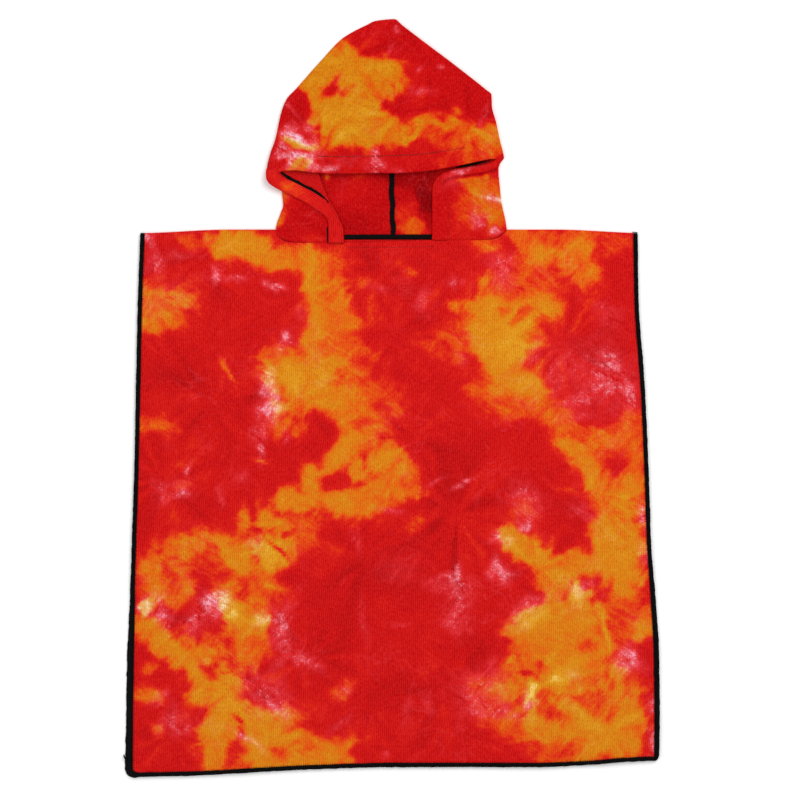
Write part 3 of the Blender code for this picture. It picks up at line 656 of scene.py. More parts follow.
FRONT_BLEACH = [
    # pixel x, y, width, height, turn, undyed share, feather
    # left chest and left side
    (212, 277, 12, 18, 0, 0.9, 0.5), (232, 280, 18, 9, 0, 0.85, 0.5), (273, 285, 22, 10, 25, 0.8, 0.5),
    (285, 340, 13, 18, 20, 1.1, 0.5), (279, 349, 17, 9, -40, 0.5, 0.5), (264, 388, 18, 28, 0, 0.8, 0.6),
    (266, 414, 22, 22, 0, 1.1, 0.6), (255, 430, 13, 11, 0, 0.6, 0.5), (259, 449, 8, 24, 0, 0.8, 0.5),
    (284, 434, 11, 11, 0, 0.5, 0.5), (190, 466, 7, 17, 20, 0.8, 0.5), (174, 491, 34, 10, -35, 1.35, 0.6),
    (172, 492, 28, 9, 25, 1.2, 0.6), (174, 490, 30, 22, -20, 0.35, 0.8), (241, 477, 17, 13, 0, 0.3, 0.6),
    (218, 494, 11, 19, 20, 0.45, 0.6), (149, 242, 13, 13, 0, 0.8, 0.5), (154, 262, 18, 24, -20, 0.6, 0.6),
    (180, 252, 30, 11, -15, 0.35, 0.6), (301, 313, 15, 13, 0, 0.4, 0.6), (382, 288, 19, 8, 20, 0.35, 0.6),
    # right chest
    (426, 302, 13, 20, 0, 0.45, 0.6), (463, 357, 13, 11, 0, 0.5, 0.6), (499, 270, 26, 30, 0, 0.65, 0.7),
    (452, 284, 16, 12, 0, 0.75, 0.6), (608, 308, 24, 14, 0, 0.55, 0.6), (564, 368, 28, 14, -30, 0.85, 0.6),
    (560, 384, 24, 10, -40, 0.7, 0.6), (596, 374, 84, 62, 15, 0.34, 0.8), (606, 356, 28, 12, 45, 0.75, 0.6),
    (602, 378, 34, 16, 12, 0.85, 0.6), (536, 350, 14, 24, 20, 0.5, 0.6), (578, 398, 34, 10, -15, 0.65, 0.6),
    (626, 394, 14, 26, -20, 0.8, 0.5), (575, 416, 38, 9, -10, 0.4, 0.6), (608, 313, 24, 20, 0, 0.3, 0.6),
    # haze on the left chest
    (172, 300, 40, 30, 0, 0.22, 0.6),
    # streaks right of the middle
    (504, 533, 14, 16, -45, 1.0, 0.5), (529, 521, 14, 14, 0, 0.95, 0.5), (524, 503, 34, 26, 20, 0.7, 0.6),
    (504, 568, 22, 20, 0, 1.0, 0.5), (459, 592, 7, 56, 0, 1.4, 0.5), (455, 580, 40, 15, 0, 0.7, 0.6),
    (457, 600, 26, 44, 0, 0.5, 0.6), (458, 624, 34, 12, 0, 0.5, 0.6), (520, 506, 26, 22, 0, 0.4, 0.6),
    (584, 512, 22, 15, 0, 0.3, 0.6),
    # lower left
    (264, 545, 15, 15, 0, 0.7, 0.5), (144, 604, 22, 16, 0, 1.4, 0.5), (164, 617, 22, 14, 45, 0.7, 0.6),
    (209, 612, 32, 26, 20, 0.7, 0.6), (222, 607, 26, 18, 10, 1.35, 0.5), (194, 622, 22, 20, 40, 0.7, 0.5),
    (196, 628, 19, 19, 0, 0.6, 0.5), (263, 621, 17, 13, 0, 1.2, 0.4), (278, 634, 22, 52, 0, 0.65, 0.6),
    (266, 692, 46, 38, 35, 0.55, 0.5), (278, 708, 22, 13, 40, 0.9, 0.4), (306, 660, 32, 13, 25, 0.65, 0.5),
    (343, 694, 11, 11, 0, 0.5, 0.5), (157, 700, 20, 10, -20, 0.65, 0.6), (174, 722, 24, 20, -10, 0.65, 0.6),
    (248, 738, 28, 6, 40, 0.9, 0.4),
    # lower right and right edge
    (527, 611, 32, 16, -40, 0.6, 0.6), (583, 593, 20, 20, 0, 0.9, 0.5), (630, 660, 28, 20, 25, 0.95, 0.6),
    (486, 690, 40, 44, 0, 0.45, 0.8), (500, 712, 50, 13, 10, 0.6, 0.5), (530, 700, 10, 22, 0, 0.8, 0.5),
    (573, 673, 15, 9, 0, 0.5, 0.5), (651, 740, 12, 26, 0, 1.0, 0.5), (648, 700, 14, 20, 0, 0.6, 0.5),
    (643, 515, 10, 28, 0, 0.85, 0.5), (642, 556, 11, 20, 0, 0.65, 0.5),
    # faint streaks in the middle
    (391, 512, 26, 5, 10, 0.6, 0.5), (462, 482, 28, 5, -30, 0.55, 0.5), (435, 482, 26, 4, -25, 0.35, 0.5),
    (428, 697, 8, 20, -30, 0.3, 0.5), (388, 752, 9, 9, 0, 0.35, 0.5), (363, 620, 6, 44, -8, 0.3, 0.6),
    (357, 545, 6, 22, -25, 0.35, 0.6), (408, 712, 7, 28, 15, 0.35, 0.6), (338, 722, 26, 8, -35, 0.3, 0.6),
    (400, 625, 18, 5, 0, 0.35, 0.6), (400, 560, 44, 30, 0, 0.14, 0.8),
]
KNOTS = [
    # pixel x, y, how far the strokes run, amount
    (306, 292, 60, 0.18), (376, 282, 60, 0.26), (300, 405, 60, 0.24), (150, 305, 60, 0.16),
    (205, 262, 70, 0.22), (215, 400, 90, 0.20), (395, 335, 90, 0.20), (412, 440, 70, 0.24),
    (560, 345, 80, 0.36), (612, 385, 50, 0.24), (575, 240, 60, 0.28), (455, 515, 110, 0.32),
    (365, 560, 90, 0.18), (540, 565, 60, 0.24), (600, 500, 60, 0.22), (535, 690, 70, 0.30),
    (610, 735, 60, 0.24), (445, 690, 90, 0.13), (368, 700, 90, 0.12), (255, 575, 60, 0.26),
    (205, 625, 60, 0.28), (235, 690, 70, 0.28), (305, 655, 70, 0.26), (170, 735, 50, 0.26),
    (165, 480, 80, 0.24),
]


def mirrored(layout):
    """The same places on the other side of the garment's middle, as dye that soaked through."""
    return [(2 * ORIGIN_PIXEL[0] - place[0], *place[1:]) for place in layout]


def pressed(to_edge):
    """Thickness of a panel, pressed thin under the overlocking along its edge."""
    return THREAD_CLOTH + (CLOTH - THREAD_CLOTH) * smooth((to_edge - THREAD_WIDTH + 0.2) / PRESS_SLOPE)


def rounded(distance, reach, depth):
    """How much a face curves in at a distance from an edge: a quarter round of a reach and depth."""
    return depth * (1 - np.sqrt(1 - np.clip(1 - distance / reach, 0, 1) ** 2))


SHOULDER_NOSE = (CLOTH, CLOTH * 0.96)    # how far from the top a shoulder curves in, and how deep
NECK_NOSE = (2.4, 1.3)


def shoulder_nose(to_top, at_neck):
    """How much a face curves in at a panel's top: a half round at the shoulder, less at the neck."""
    reach, depth = (np.where(at_neck, *pair) for pair in zip(NECK_NOSE, SHOULDER_NOSE))
    return rounded(to_top, reach, depth)


def weave_of(x, y):
    """Where the weave lies: the plan itself, in metres, as its columns run up the garment."""
    return np.stack([x, y, np.zeros_like(x)], -1) * MM


GROUND = 0.05            # amount of gold dye where no place lies
BACK_LIFT = 0.35         # share of its pressing by which the back's edge is lifted off the table

x, y, to_edge, to_top, at_neck = panel_grid(front=False, step=5.0)
thick = pressed(to_edge)
lift = (CLOTH - thick) * BACK_LIFT
nose = shoulder_nose(to_top, at_neck)
dye = dye_field(x, y, mirrored(FRONT_DYE), GROUND, seed=31) + bursts(x, y, mirrored(KNOTS), seed=61)
bleach = dye_field(x, y, mirrored(FRONT_BLEACH), 0.0, seed=32)
back = cloth("back_panel", (x, y, lift + thick), (x, y, lift + nose * 0.9),
             {"dye": (dye, dye), "bleach": (bleach, bleach), "weave": (weave_of(x, y),) * 2})
back.data.materials.append(dyed_terry("dyed_terry_back", 0.6))
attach(back, "root")
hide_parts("back")


# Front panel
# The same cut of terry towelling, laid on the back panel. It shows the whole of the
# dye's pattern, and lies in a few soft creases left by folding.

GAP = 0.3                # room between layers and at seams
FRONT_Z = CLOTH + GAP

RIDGES = [
    # from x, from y, to x, to y, height, half width
    (150, -410, 310, -295, 2.0, 30), (235, -425, 318, -370, 1.6, 26), (120, -260, 215, -185, 1.1, 34),
    (-270, -330, -150, -420, 1.3, 40), (-230, 60, -120, -80, 1.0, 50), (60, 110, 170, 10, 0.9, 46),
    (-40, -180, 40, -330, 1.0, 50),
]
FINE_CREASES = [
    # from x, from y, to x, to y, height, half width; a trough has a height below zero
    (60, 150, 130, 96, 0.7, 9), (-60, 176, -30, 120, 0.5, 8), (-250, 150, -170, 120, 0.6, 12),
    (-210, 20, -150, -30, 0.6, 10), (-90, 70, -30, 30, 0.5, 9), (150, 60, 215, 35, 0.6, 11),
    (190, -120, 290, -150, 0.7, 12), (-280, -140, -190, -190, 0.7, 13), (30, -330, 120, -300, 0.6, 12),
    (-30, -250, 60, -190, 0.5, 10), (180, -330, 250, -390, 0.8, 8), (210, -300, 262, -352, 0.6, 7),
    (-240, -290, -200, -360, 0.6, 9),
]


def crease_height(x, y, table):
    """Height of soft creases, each along a line and fading out at both its ends."""
    height = np.zeros_like(x)
    for x0, y0, x1, y1, top, half_width in table:
        along_x, along_y = x1 - x0, y1 - y0
        length = math.hypot(along_x, along_y)
        t = ((x - x0) * along_x + (y - y0) * along_y) / length ** 2
        distance = abs((x - x0) * along_y - (y - y0) * along_x) / length
        height += top * smooth(1.5 - abs(t - 0.5) * 2) * smooth(1 - distance / (2 * half_width))
    return height


SWELLS = [
    # size of the soft swells in the cloth, height
    (34, 0.3),
    (13, 0.12),
]
SWELL_LIFT = 0.35                  # how high they lift the cloth in the mean
RAY_BLEACH = (1.6, 0.3)            # how much the bursts change the undyed share, and their limit
CALM_DROP, CALM_RUN = 40, 60       # below the shoulders: where large creases begin, and take to grow
INLAND = (2, 12)                   # from the edge: where soft relief begins, and takes to grow


def below_shoulders(y):
    """Share of the large creases that shows at a height on the panel."""
    return smooth((SHOULDER_Y - CALM_DROP - y) / CALM_RUN)


x, y, to_edge, to_top, at_neck = panel_grid(front=True, step=3.05)
thick = pressed(to_edge)
calm = below_shoulders(y)
ridges = crease_height(x, y, RIDGES) * calm
relief = ridges + crease_height(x, y, FINE_CREASES)
relief += calm * soft_noises(x, y, SWELLS, 5, SWELL_LIFT)
inland = smooth((to_edge - INLAND[0]) / INLAND[1])
base = FRONT_Z + np.clip(relief, 0, None) * inland
base += np.clip(ridges, 0, None) * (1 - inland)
lift = (CLOTH - thick) / 2
nose = shoulder_nose(to_top, at_neck)
rays = bursts(x, y, KNOTS, seed=61)
dye = dye_field(x, y, FRONT_DYE, GROUND, seed=1) + rays
bleach = dye_field(x, y, FRONT_BLEACH, 0.0, seed=2)
bleach *= 1 - RAY_BLEACH[0] * np.clip(rays, -RAY_BLEACH[1], RAY_BLEACH[1])
front = cloth("front_panel", (x, y, base + lift + thick - nose), (x, y, base + lift),
              {"dye": (dye, dye), "bleach": (bleach, bleach), "weave": (weave_of(x, y),) * 2})
front.data.materials.append(dyed_terry("dyed_terry_front", 0.8))
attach(front, "root")
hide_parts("front")


# Overlocked edges of the panels
# Black polyester thread, overlocked round each panel's two sides and hem by a machine:
# a dense roll that wraps the raw edge, with the needle's stitches as teeth on the cloth.

def black_thread():
    """Slightly glossy spun thread, its twist as fine bands."""
    material, tree, shader = new_material("black_thread", 0.75, 0.08)
    place = put(tree, "ShaderNodeTexCoord").outputs["Object"]
    twist = put(tree, "ShaderNodeTexNoise", {"Vector": place, "Scale": 900.0, "Detail": 3.0}).outputs["Fac"]
    dusty = put(tree, "ShaderNodeTexNoise", {"Vector": place, "Scale": 70.0, "Detail": 4.0}).outputs["Fac"]
    worn = mixed(tree, from_range(tree, dusty, 0.45, 0.8), srgb(8, 6, 7), srgb(22, 12, 12))
    tree.links.new(mixed(tree, from_range(tree, twist, 0.4, 0.7), srgb(4, 3, 4), worn),
                   shader.inputs["Base Color"])
    bump = put(tree, "ShaderNodeBump", {"Strength": 0.7, "Distance": 0.0004, "Height": twist})
    tree.links.new(bump.outputs[0], shader.inputs["Normal"])
    return material


thread = black_thread()


def across_path(path):
    """Level directions across a path at its points, to its right."""
    run = np.gradient(path, axis=0)
    run /= np.linalg.norm(run, axis=1)[:, None]
    across = np.stack([run[:, 1], -run[:, 0], np.zeros(len(run))], -1)
    return across / np.linalg.norm(across, axis=1)[:, None]


def even_path(points, spacing):
    """Points at an even spacing along the broken line through the given ones."""
    points = np.array(points, float)
    travelled = np.concatenate([[0], np.cumsum(np.linalg.norm(np.diff(points, axis=0), axis=1))])
    stops = np.linspace(0, travelled[-1], max(2, int(travelled[-1] / spacing)))
    return np.stack([np.interp(stops, travelled, points[:, k]) for k in range(3)], -1)


ROLL_LUMPS = [
    # length of the lumps in a roll of thread, share
    (6.0, 1.0),
    (2.4, 0.6),
]
LUMP_SEED = 5                  # from the seed of one size of lumps to the next
ROLL_END = (0.6, 0.25)         # a roll's thickness at its ends, and its gain from point to point
ROLL_FLATNESS = (0.7, 0.6)     # powers that make its section square, across and up


def thread_roll(name, path, half_width, half_height, ragged, seed, sides=10):
    """A flattened roll of thread along a path, a little uneven, with its ends closed.

    The half width is one number, or one for each point of the path.
    """
    across = across_path(path)
    count = len(path)
    travelled = np.arange(count) * np.linalg.norm(path[1] - path[0])
    lumps = [sum(share * soft_noise(travelled, travelled * 0, size, seed + LUMP_SEED * j + k)
                 for j, (size, share) in enumerate(ROLL_LUMPS)) for k in range(2)]
    uneven = 1 + ragged * np.stack(lumps, -1)
    from_end = np.minimum(np.arange(count), np.arange(count)[::-1])
    ends = np.minimum(1, from_end * ROLL_END[1] + ROLL_END[0])
    rings = []
    for k in range(sides):
        angle = 2 * math.pi * k / sides
        out, up = math.cos(angle), math.sin(angle)
        out = math.copysign(abs(out) ** ROLL_FLATNESS[0], out)
        up = math.copysign(abs(up) ** ROLL_FLATNESS[1], up)
        side = uneven[:, 0] if out > 0 else uneven[:, 1]
        rings.append(path + across * (half_width * out * side * ends)[:, None]
                     + np.array([0, 0, 1]) * (up * half_height * ends)[:, None])
    places = np.stack(rings, 1).reshape(-1, 3) * MM
    index = np.arange(count * sides).reshape(count, sides)
    wrap = np.roll(index, -1, 1)
    faces = np.stack([index[:-1], wrap[:-1], wrap[1:], index[1:]], -1).reshape(-1, 4).tolist()
    faces += [index[0].tolist(), index[-1][::-1].tolist()]
    mesh = bpy.data.meshes.new(name)
    mesh.from_pydata(places.tolist(), [], faces)
    turn_outwards(mesh)
    return mesh


STRAND_SIDES = 5         # sides of a stitch's strand, and points along it


def build_stitch_tree():
    """Geometry Nodes: a thread laid over the seam line at each step of a path."""
    tree = bpy.data.node_groups.new("stitches_along_path", "GeometryNodeTree")
    sockets = tree.interface
    sockets.new_socket("Geometry", in_out="INPUT", socket_type="NodeSocketGeometry")
    for name, value in (("Pitch", 0.002), ("Thread radius", 0.0004), ("Inner reach", 0.003),
                        ("Outer reach", 0.003), ("Slant", 0.001), ("Arch", 0.001), ("Jitter", 0.1)):
        sockets.new_socket(name, in_out="INPUT", socket_type="NodeSocketFloat").default_value = value
    sockets.new_socket("Seed", in_out="INPUT", socket_type="NodeSocketInt").default_value = 1
    sockets.new_socket("Material", in_out="INPUT", socket_type="NodeSocketMaterial")
    sockets.new_socket("Geometry", in_out="OUTPUT", socket_type="NodeSocketGeometry")
    given = tree.nodes.new("NodeGroupInput").outputs
    line = put(tree, "GeometryNodeMeshToCurve", {"Mesh": given["Geometry"]})
    steps = put(tree, "GeometryNodeResampleCurve", {"Curve": line.outputs[0], "Length": given["Pitch"]},
                mode="LENGTH")
    start = put(tree, "ShaderNodeCombineXYZ", {"Y": product(tree, given["Inner reach"], -1.0)})
    middle = put(tree, "ShaderNodeCombineXYZ", {"X": given["Slant"], "Z": given["Arch"]})
    end = put(tree, "ShaderNodeCombineXYZ", {"X": given["Slant"], "Y": given["Outer reach"]})
    bow = put(tree, "GeometryNodeCurveQuadraticBezier",
              {"Resolution": STRAND_SIDES, "Start": start.outputs[0], "Middle": middle.outputs[0],
               "End": end.outputs[0]})
    section = put(tree, "GeometryNodeCurvePrimitiveCircle",
                  {"Resolution": STRAND_SIDES, "Radius": given["Thread radius"]})
    strand = put(tree, "GeometryNodeCurveToMesh",
                 {"Curve": bow.outputs[0], "Profile Curve": section.outputs[0], "Fill Caps": True})
    tangent = put(tree, "GeometryNodeInputTangent")
    aligned = put(tree, "FunctionNodeAlignRotationToVector", {"Vector": tangent.outputs[0]}, axis="X",
                  pivot_axis="Z")
    least, most = (math_node(tree, way, 1.0, given["Jitter"]) for way in ("SUBTRACT", "ADD"))
    size = put(tree, "FunctionNodeRandomValue", {2: least, 3: most, "Seed": given["Seed"]},
               data_type="FLOAT")
    laid = put(tree, "GeometryNodeInstanceOnPoints",
               {"Points": steps.outputs[0], "Instance": strand.outputs[0],
                "Rotation": aligned.outputs[0], "Scale": size.outputs[1]})
    real = put(tree, "GeometryNodeRealizeInstances", {"Geometry": laid.outputs[0]})
    dressed = put(tree, "GeometryNodeSetMaterial",
                  {"Geometry": real.outputs[0], "Material": given["Material"]})
    tree.links.new(dressed.outputs[0], tree.nodes.new("NodeGroupOutput").inputs[0])
    return tree


stitch_tree = build_stitch_tree()


def stitches(path, material, **sizes):
    """Mesh of the stitches that the tree lays along a path, with its sizes in metres."""
    mesh = bpy.data.meshes.new("stitch_path")
    mesh.from_pydata((path * MM).tolist(), [(k, k + 1) for k in range(len(path) - 1)], [])
    carrier = placed("stitch_path", mesh)
    modifier = carrier.modifiers.new("stitches", "NODES")
    modifier.node_group = stitch_tree
    given = {"Material": material, **{name.replace("_", " ").capitalize(): v for name, v in sizes.items()}}
    for item in stitch_tree.interface.items_tree:
        if item.in_out == "INPUT" and item.name in given:
            modifier[item.identifier] = given[item.name]
    graph = bpy.context.evaluated_depsgraph_get()
    made = bpy.data.meshes.new_from_object(carrier.evaluated_get(graph))
    bpy.data.objects.remove(carrier)
    made.shade_smooth()
    return made


def joined(name, meshes, material):
    """One piece from several meshes, all in one material."""
    whole = bmesh.new()
    for mesh in meshes:
        whole.from_mesh(mesh)
    mesh = bpy.data.meshes.new(name)
    whole.to_mesh(mesh)
    whole.free()
    mesh.materials.clear()
    mesh.materials.append(material)
    for polygon in mesh.polygons:
        polygon.material_index = 0
    return placed(name, mesh)


SIDE_POINTS, HEM_POINTS = 120, 110
SIDE_FOOT = (-300.0, 311.0)        # x where the hem is measured for the sides' lower ends
HEM_STRETCH = (-297, 306)          # x between which the hem runs
CORNER_X = (-290.0, 303.0)         # x and y where the hem and the sides are measured for the corners
CORNER_Y = (-430.0, -424.0)
CORNER_POINTS = (8, 6)
CORNER_TURN = (0.1, math.pi / 2 - 0.1)     # the part of a corner's quarter round that has points


def panel_outline(front_side, inset):
    """Path down a panel's left side, along its hem and up its right side."""
    left, right, lower = panel_lines(front_side)
    shoulder = SHOULDER_Y - SHOULDER_DROP + 0.2
    heights = np.linspace(shoulder, float(lower(SIDE_FOOT[0])) + CORNER[0], SIDE_POINTS)
    points = [(float(left(h)) + inset, h) for h in heights]
    radius = CORNER[0] - inset
    centre = (float(left(CORNER_Y[0])) + CORNER[0], float(lower(CORNER_X[0])) + CORNER[0])
    points += [(centre[0] - radius * math.cos(a), centre[1] - radius * math.sin(a))
               for a in np.linspace(*CORNER_TURN, CORNER_POINTS[0])]
    points += [(px, float(lower(px)) + inset) for px in np.linspace(*HEM_STRETCH, HEM_POINTS)]
    radius = CORNER[1] - inset
    centre = (float(right(CORNER_Y[1])) - CORNER[1], float(lower(CORNER_X[1])) + CORNER[1])
    points += [(centre[0] + radius * math.sin(a), centre[1] - radius * math.cos(a))
               for a in np.linspace(*CORNER_TURN, CORNER_POINTS[1])]
    heights = np.linspace(float(lower(SIDE_FOOT[1])) + CORNER[1] + 1, shoulder, SIDE_POINTS)
    points += [(float(right(h)) - inset, h) for h in heights]
    return np.array(points)


def edge_height(px, py, front_side):
    """Middle of the cloth under a panel's overlocking."""
    if not front_side:
        return np.full(len(px), CLOTH / 2)
    return FRONT_Z + CLOTH / 2 + crease_height(px, py, RIDGES) * below_shoulders(py)


BUNCHED = 2.4                # how much wider the thread is where it bunches up, low on the left
BUNCH_FROM = (-296, -200)    # x and y past which it does
BUNCH_RUN = (6, 150)
LOOSE_END = [(-309.5, -421.5), (-312.0, -422.5), (-313.6, -420.5), (-314.4, -417.0)]
TEETH_SINK = 0.35            # how deep the stitches' feet sit in the roll
OVERLOCK_PITCH = 0.0021      # from one overlock stitch to the next, in metres

for side, is_front in (("back", False), ("front", True)):
    plan = panel_outline(is_front, THREAD_WIDTH / 2)
    path = even_path(np.column_stack([plan, edge_height(plan[:, 0], plan[:, 1], is_front)]), 1.5)
    bunched = (BUNCHED * smooth((BUNCH_FROM[1] - path[:, 1]) / BUNCH_RUN[1])
               * smooth((BUNCH_FROM[0] - path[:, 0]) / BUNCH_RUN[0]))
    path[:, 0] += bunched / 2
    roll = thread_roll("roll", path, (THREAD_WIDTH + bunched) / 2, CLOTH / 2 - 0.05, 0.10, 40 + is_front)
    to_teeth = np.stack([bunched / 2, 0 * bunched, 0 * bunched + CLOTH / 2 - TEETH_SINK], -1)
    half = THREAD_WIDTH / 2 * MM
    teeth = stitches(path + to_teeth, thread, pitch=OVERLOCK_PITCH, thread_radius=0.00038,
                     inner_reach=half - 0.0002, outer_reach=half + 0.0007, slant=0.0009, arch=0.0011,
                     jitter=0.08)
    parts = [roll, teeth]
    if is_front:
        tail = [(px, py, FRONT_Z + 0.4 * CLOTH) for px, py in LOOSE_END]
        parts.append(thread_roll("tail", even_path(tail, 0.8), 1.0, 0.6, 0.3, 47, sides=6))
    edge = joined(f"{side}_overlocked_edge", parts, thread)
    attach(edge, "root")
    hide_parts(*(f"edge_{side}_{part}" for part in ("left", "hem", "right")))


# Hood
# One piece of the same cloth, folded over the head's top and seamed down the back. Its
# face edge is turned in as a hem, 19 mm wide, and stitched through. It lies spread, with
# the upper half over the mouth and two lower arms that run down to the neck.

HEM = 19.0
HEM_EXTRA = 1.6          # what the turned-in cloth adds under the hem
SEAM_X = -0.6            # the seam down the back
TOP_RIBS = (9, 30)       # ribs between which the hood's front layer is its upper half
MOUTH_RISE = 3.0         # how much higher the upper half's edge bulges than its solid
RISE_WIDTH = 45          # how far in from the mouth the bulge reaches
RISE_LEFT, RISE_RIGHT = (-128, 30), (122, 24)    # x where the bulge begins and ends, and its run-out
GROOVE = (1.3, 0.55)     # half width and depth of the groove along the hem's stitches
HEM_SLOPE = 3            # width in which the hem's thickness ends
EDGE_REACH = 1.6         # width in which a cut or folded edge is rounded
LIP_START, LIP_END = (30.6, 0.9), (36.2, 1.4)    # ribs of the right arm's lip, and its run-out
LIP_WIDTH, LIP_HEIGHT = 11.5, 3.0
LIP_SLOPES = (3.5, 4)    # width of its slopes, away from the mouth and at the mouth
RELIEF_ENDS = 8          # the cloth's relief runs out within an eighth of the way to the mouth or the fold
FOOT_LINE, FOOT_WIDTH, FOOT_DEPTH = 10.6, 1.7, 1.2   # the fold at the lip's foot, in from the mouth
HOOD_SWELLS = [
    # height and size of the soft swells in the upper half, then in the arms, and seed
    (0.3, 26, 8),
    (0.1, 22, 9),
]
SEAM_DIP = (0.6, 1.2)    # how deep and how wide the cloth sinks along the neck seam

RIBS = [
    # mouth x, y, underside, crease x, y, underside, y at the back seam, hem, bend
    (-57.0, 181.1, 2.3, -136.0, 189.5, 2.3, 185.2, 0.0, 8.0),
    (-58.5, 195.4, 2.3, -136.0, 200.1, 2.3, 197.7, 0.0, 3.0),
    (-64.5, 211.8, 2.3, -131.0, 215.9, 2.3, 211.8, 0.0, 1.0),
    (-72.5, 222.3, 2.3, -127.8, 225.8, 2.3, 222.3, 0.0, 1.0),
    (-79.5, 236.3, 2.3, -128.7, 235.2, 2.3, 232.8, 0.0, 1.0),
    (-90.0, 252.0, 2.3, -129.6, 241.6, 2.3, 241.0, 0.0, 1.0),
    (-112.0, 256.0, 2.3, -136.9, 246.9, 2.3, 247.5, 0.0, 1.0),
    (-134.0, 253.5, 2.3, -143.9, 251.5, 2.3, 252.1, 0.0, 1.0),
    (-139.5, 255.3, 5.0, -146.8, 255.8, 5.0, 256.2, 0.0, 1.0),
    (-137.5, 258.5, 9.2, -147.4, 262.1, 8.6, 263.2, 0.0, 1.0),
    (-129.3, 264.4, 9.2, -146.2, 272.6, 8.0, 273.8, 0.5, 1.0),
    (-114.1, 265.6, 8.6, -142.7, 286.6, 7.0, 287.8, 1.0, 1.0),
    (-90.7, 263.0, 7.1, -136.9, 303.0, 6.2, 304.2, 1.0, 1.0),
    (-67.3, 261.7, 5.9, -130.5, 332.3, 5.0, 332.3, 1.0, 1.0),
    (-54.0, 261.8, 5.8, -124.0, 349.2, 4.9, 348.0, 1.0, 1.0),
    (-43.9, 262.1, 5.8, -111.7, 362.7, 4.8, 362.7, 1.0, 1.0),
    (-26.3, 262.4, 5.8, -84.8, 393.1, 4.6, 391.9, 1.0, 1.0),
    (-14.6, 262.7, 5.7, -56.7, 421.8, 4.4, 416.5, 1.0, 1.0),
    (-7.6, 262.5, 5.7, -31.0, 435.8, 4.2, 428.2, 1.0, 1.0),
    (-5.0, 262.4, 5.7, -19.5, 441.0, 4.2, 433.0, 1.0, 1.0),
    (-2.0, 262.3, 5.7, 1.5, 443.1, 4.2, 437.5, 1.0, 1.0),
    (1.6, 262.3, 5.7, 12.3, 435.2, 4.2, 428.2, 1.0, 1.0),
    (8.8, 262.5, 5.7, 36.9, 416.5, 4.4, 414.2, 1.0, 1.0),
    (24.0, 263.5, 5.8, 69.6, 391.9, 4.6, 390.8, 1.0, 1.0),
    (43.9, 265.2, 5.8, 108.2, 361.5, 4.6, 362.4, 1.0, 1.0),
    (54.0, 266.9, 5.8, 115.8, 354.5, 4.6, 352.0, 1.0, 1.0),
    (64.9, 268.9, 5.8, 116.4, 340.5, 4.6, 339.3, 1.0, 1.0),
    (83.7, 272.6, 5.8, 121.1, 322.9, 4.8, 321.8, 1.0, 1.0),
    (102.4, 276.7, 5.6, 125.8, 300.7, 4.8, 301.9, 0.8, 1.0),
    (116.4, 279.3, 5.0, 129.3, 287.2, 4.6, 289.0, 0.2, 1.0),
    (121.5, 278.6, 4.6, 130.5, 280.8, 4.4, 280.8, 0.0, 1.0),
    (114.1, 275.3, 3.6, 125.8, 274.4, 3.4, 273.8, 0.2, 1.0),
    (98.9, 271.6, 2.8, 124.0, 266.8, 2.6, 265.6, 0.8, 1.0),
    (81.3, 269.2, 2.5, 124.4, 258.6, 2.3, 257.4, 1.0, 1.0),
    (64.3, 265.8, 2.4, 125.2, 250.4, 2.3, 248.0, 1.0, 1.0),
    (52.6, 259.0, 2.3, 126.0, 242.2, 2.3, 238.7, 1.0, 1.0),
    (46.8, 247.0, 2.3, 126.9, 232.8, 2.3, 229.3, 1.0, 1.0),
    (46.2, 231.7, 2.3, 129.3, 220.0, 2.3, 216.4, 1.0, 1.0),
    (46.2, 208.3, 2.3, 132.0, 208.3, 2.3, 201.2, 1.0, 3.0),
    (46.2, 184.2, 2.3, 134.0, 194.8, 2.3, 185.2, 1.0, 8.0),
]
TOP_CREASES = [
    # from x, from y, to x, to y, height, half width
    (-120, 300, -70, 285, 0.7, 10), (-128, 286, -86, 274, 0.8, 7), (-40, 300, 50, 306, 0.6, 20),
    (-60, 350, -10, 400, 0.6, 22), (40, 330, 96, 316, 0.7, 12), (60, 352, 104, 330, 0.5, 9),
    (0, 380, 40, 350, 0.5, 18), (-100, 330, -60, 320, 0.5, 12), (84, 298, 122, 300, 0.6, 7),
]
ARM_CREASES = [
    # from x, from y, to x, to y, height, half width
    (62, 247, 80, 238, 0.5, 5), (70, 205, 118, 215, 0.5, 10), (96, 246, 126, 238, 0.5, 8),
    (-122, 228, -84, 224, 0.9, 6), (-118, 206, -84, 202, 0.6, 9), (-129, 224, -114, 202, -1.6, 3),
    (-122, 228, -108, 208, 1.2, 5),
]
BACK_CREASES = [(-50, 222, -20, 224, 0.7, 7), (10, 206, 40, 214, 0.5, 8)]
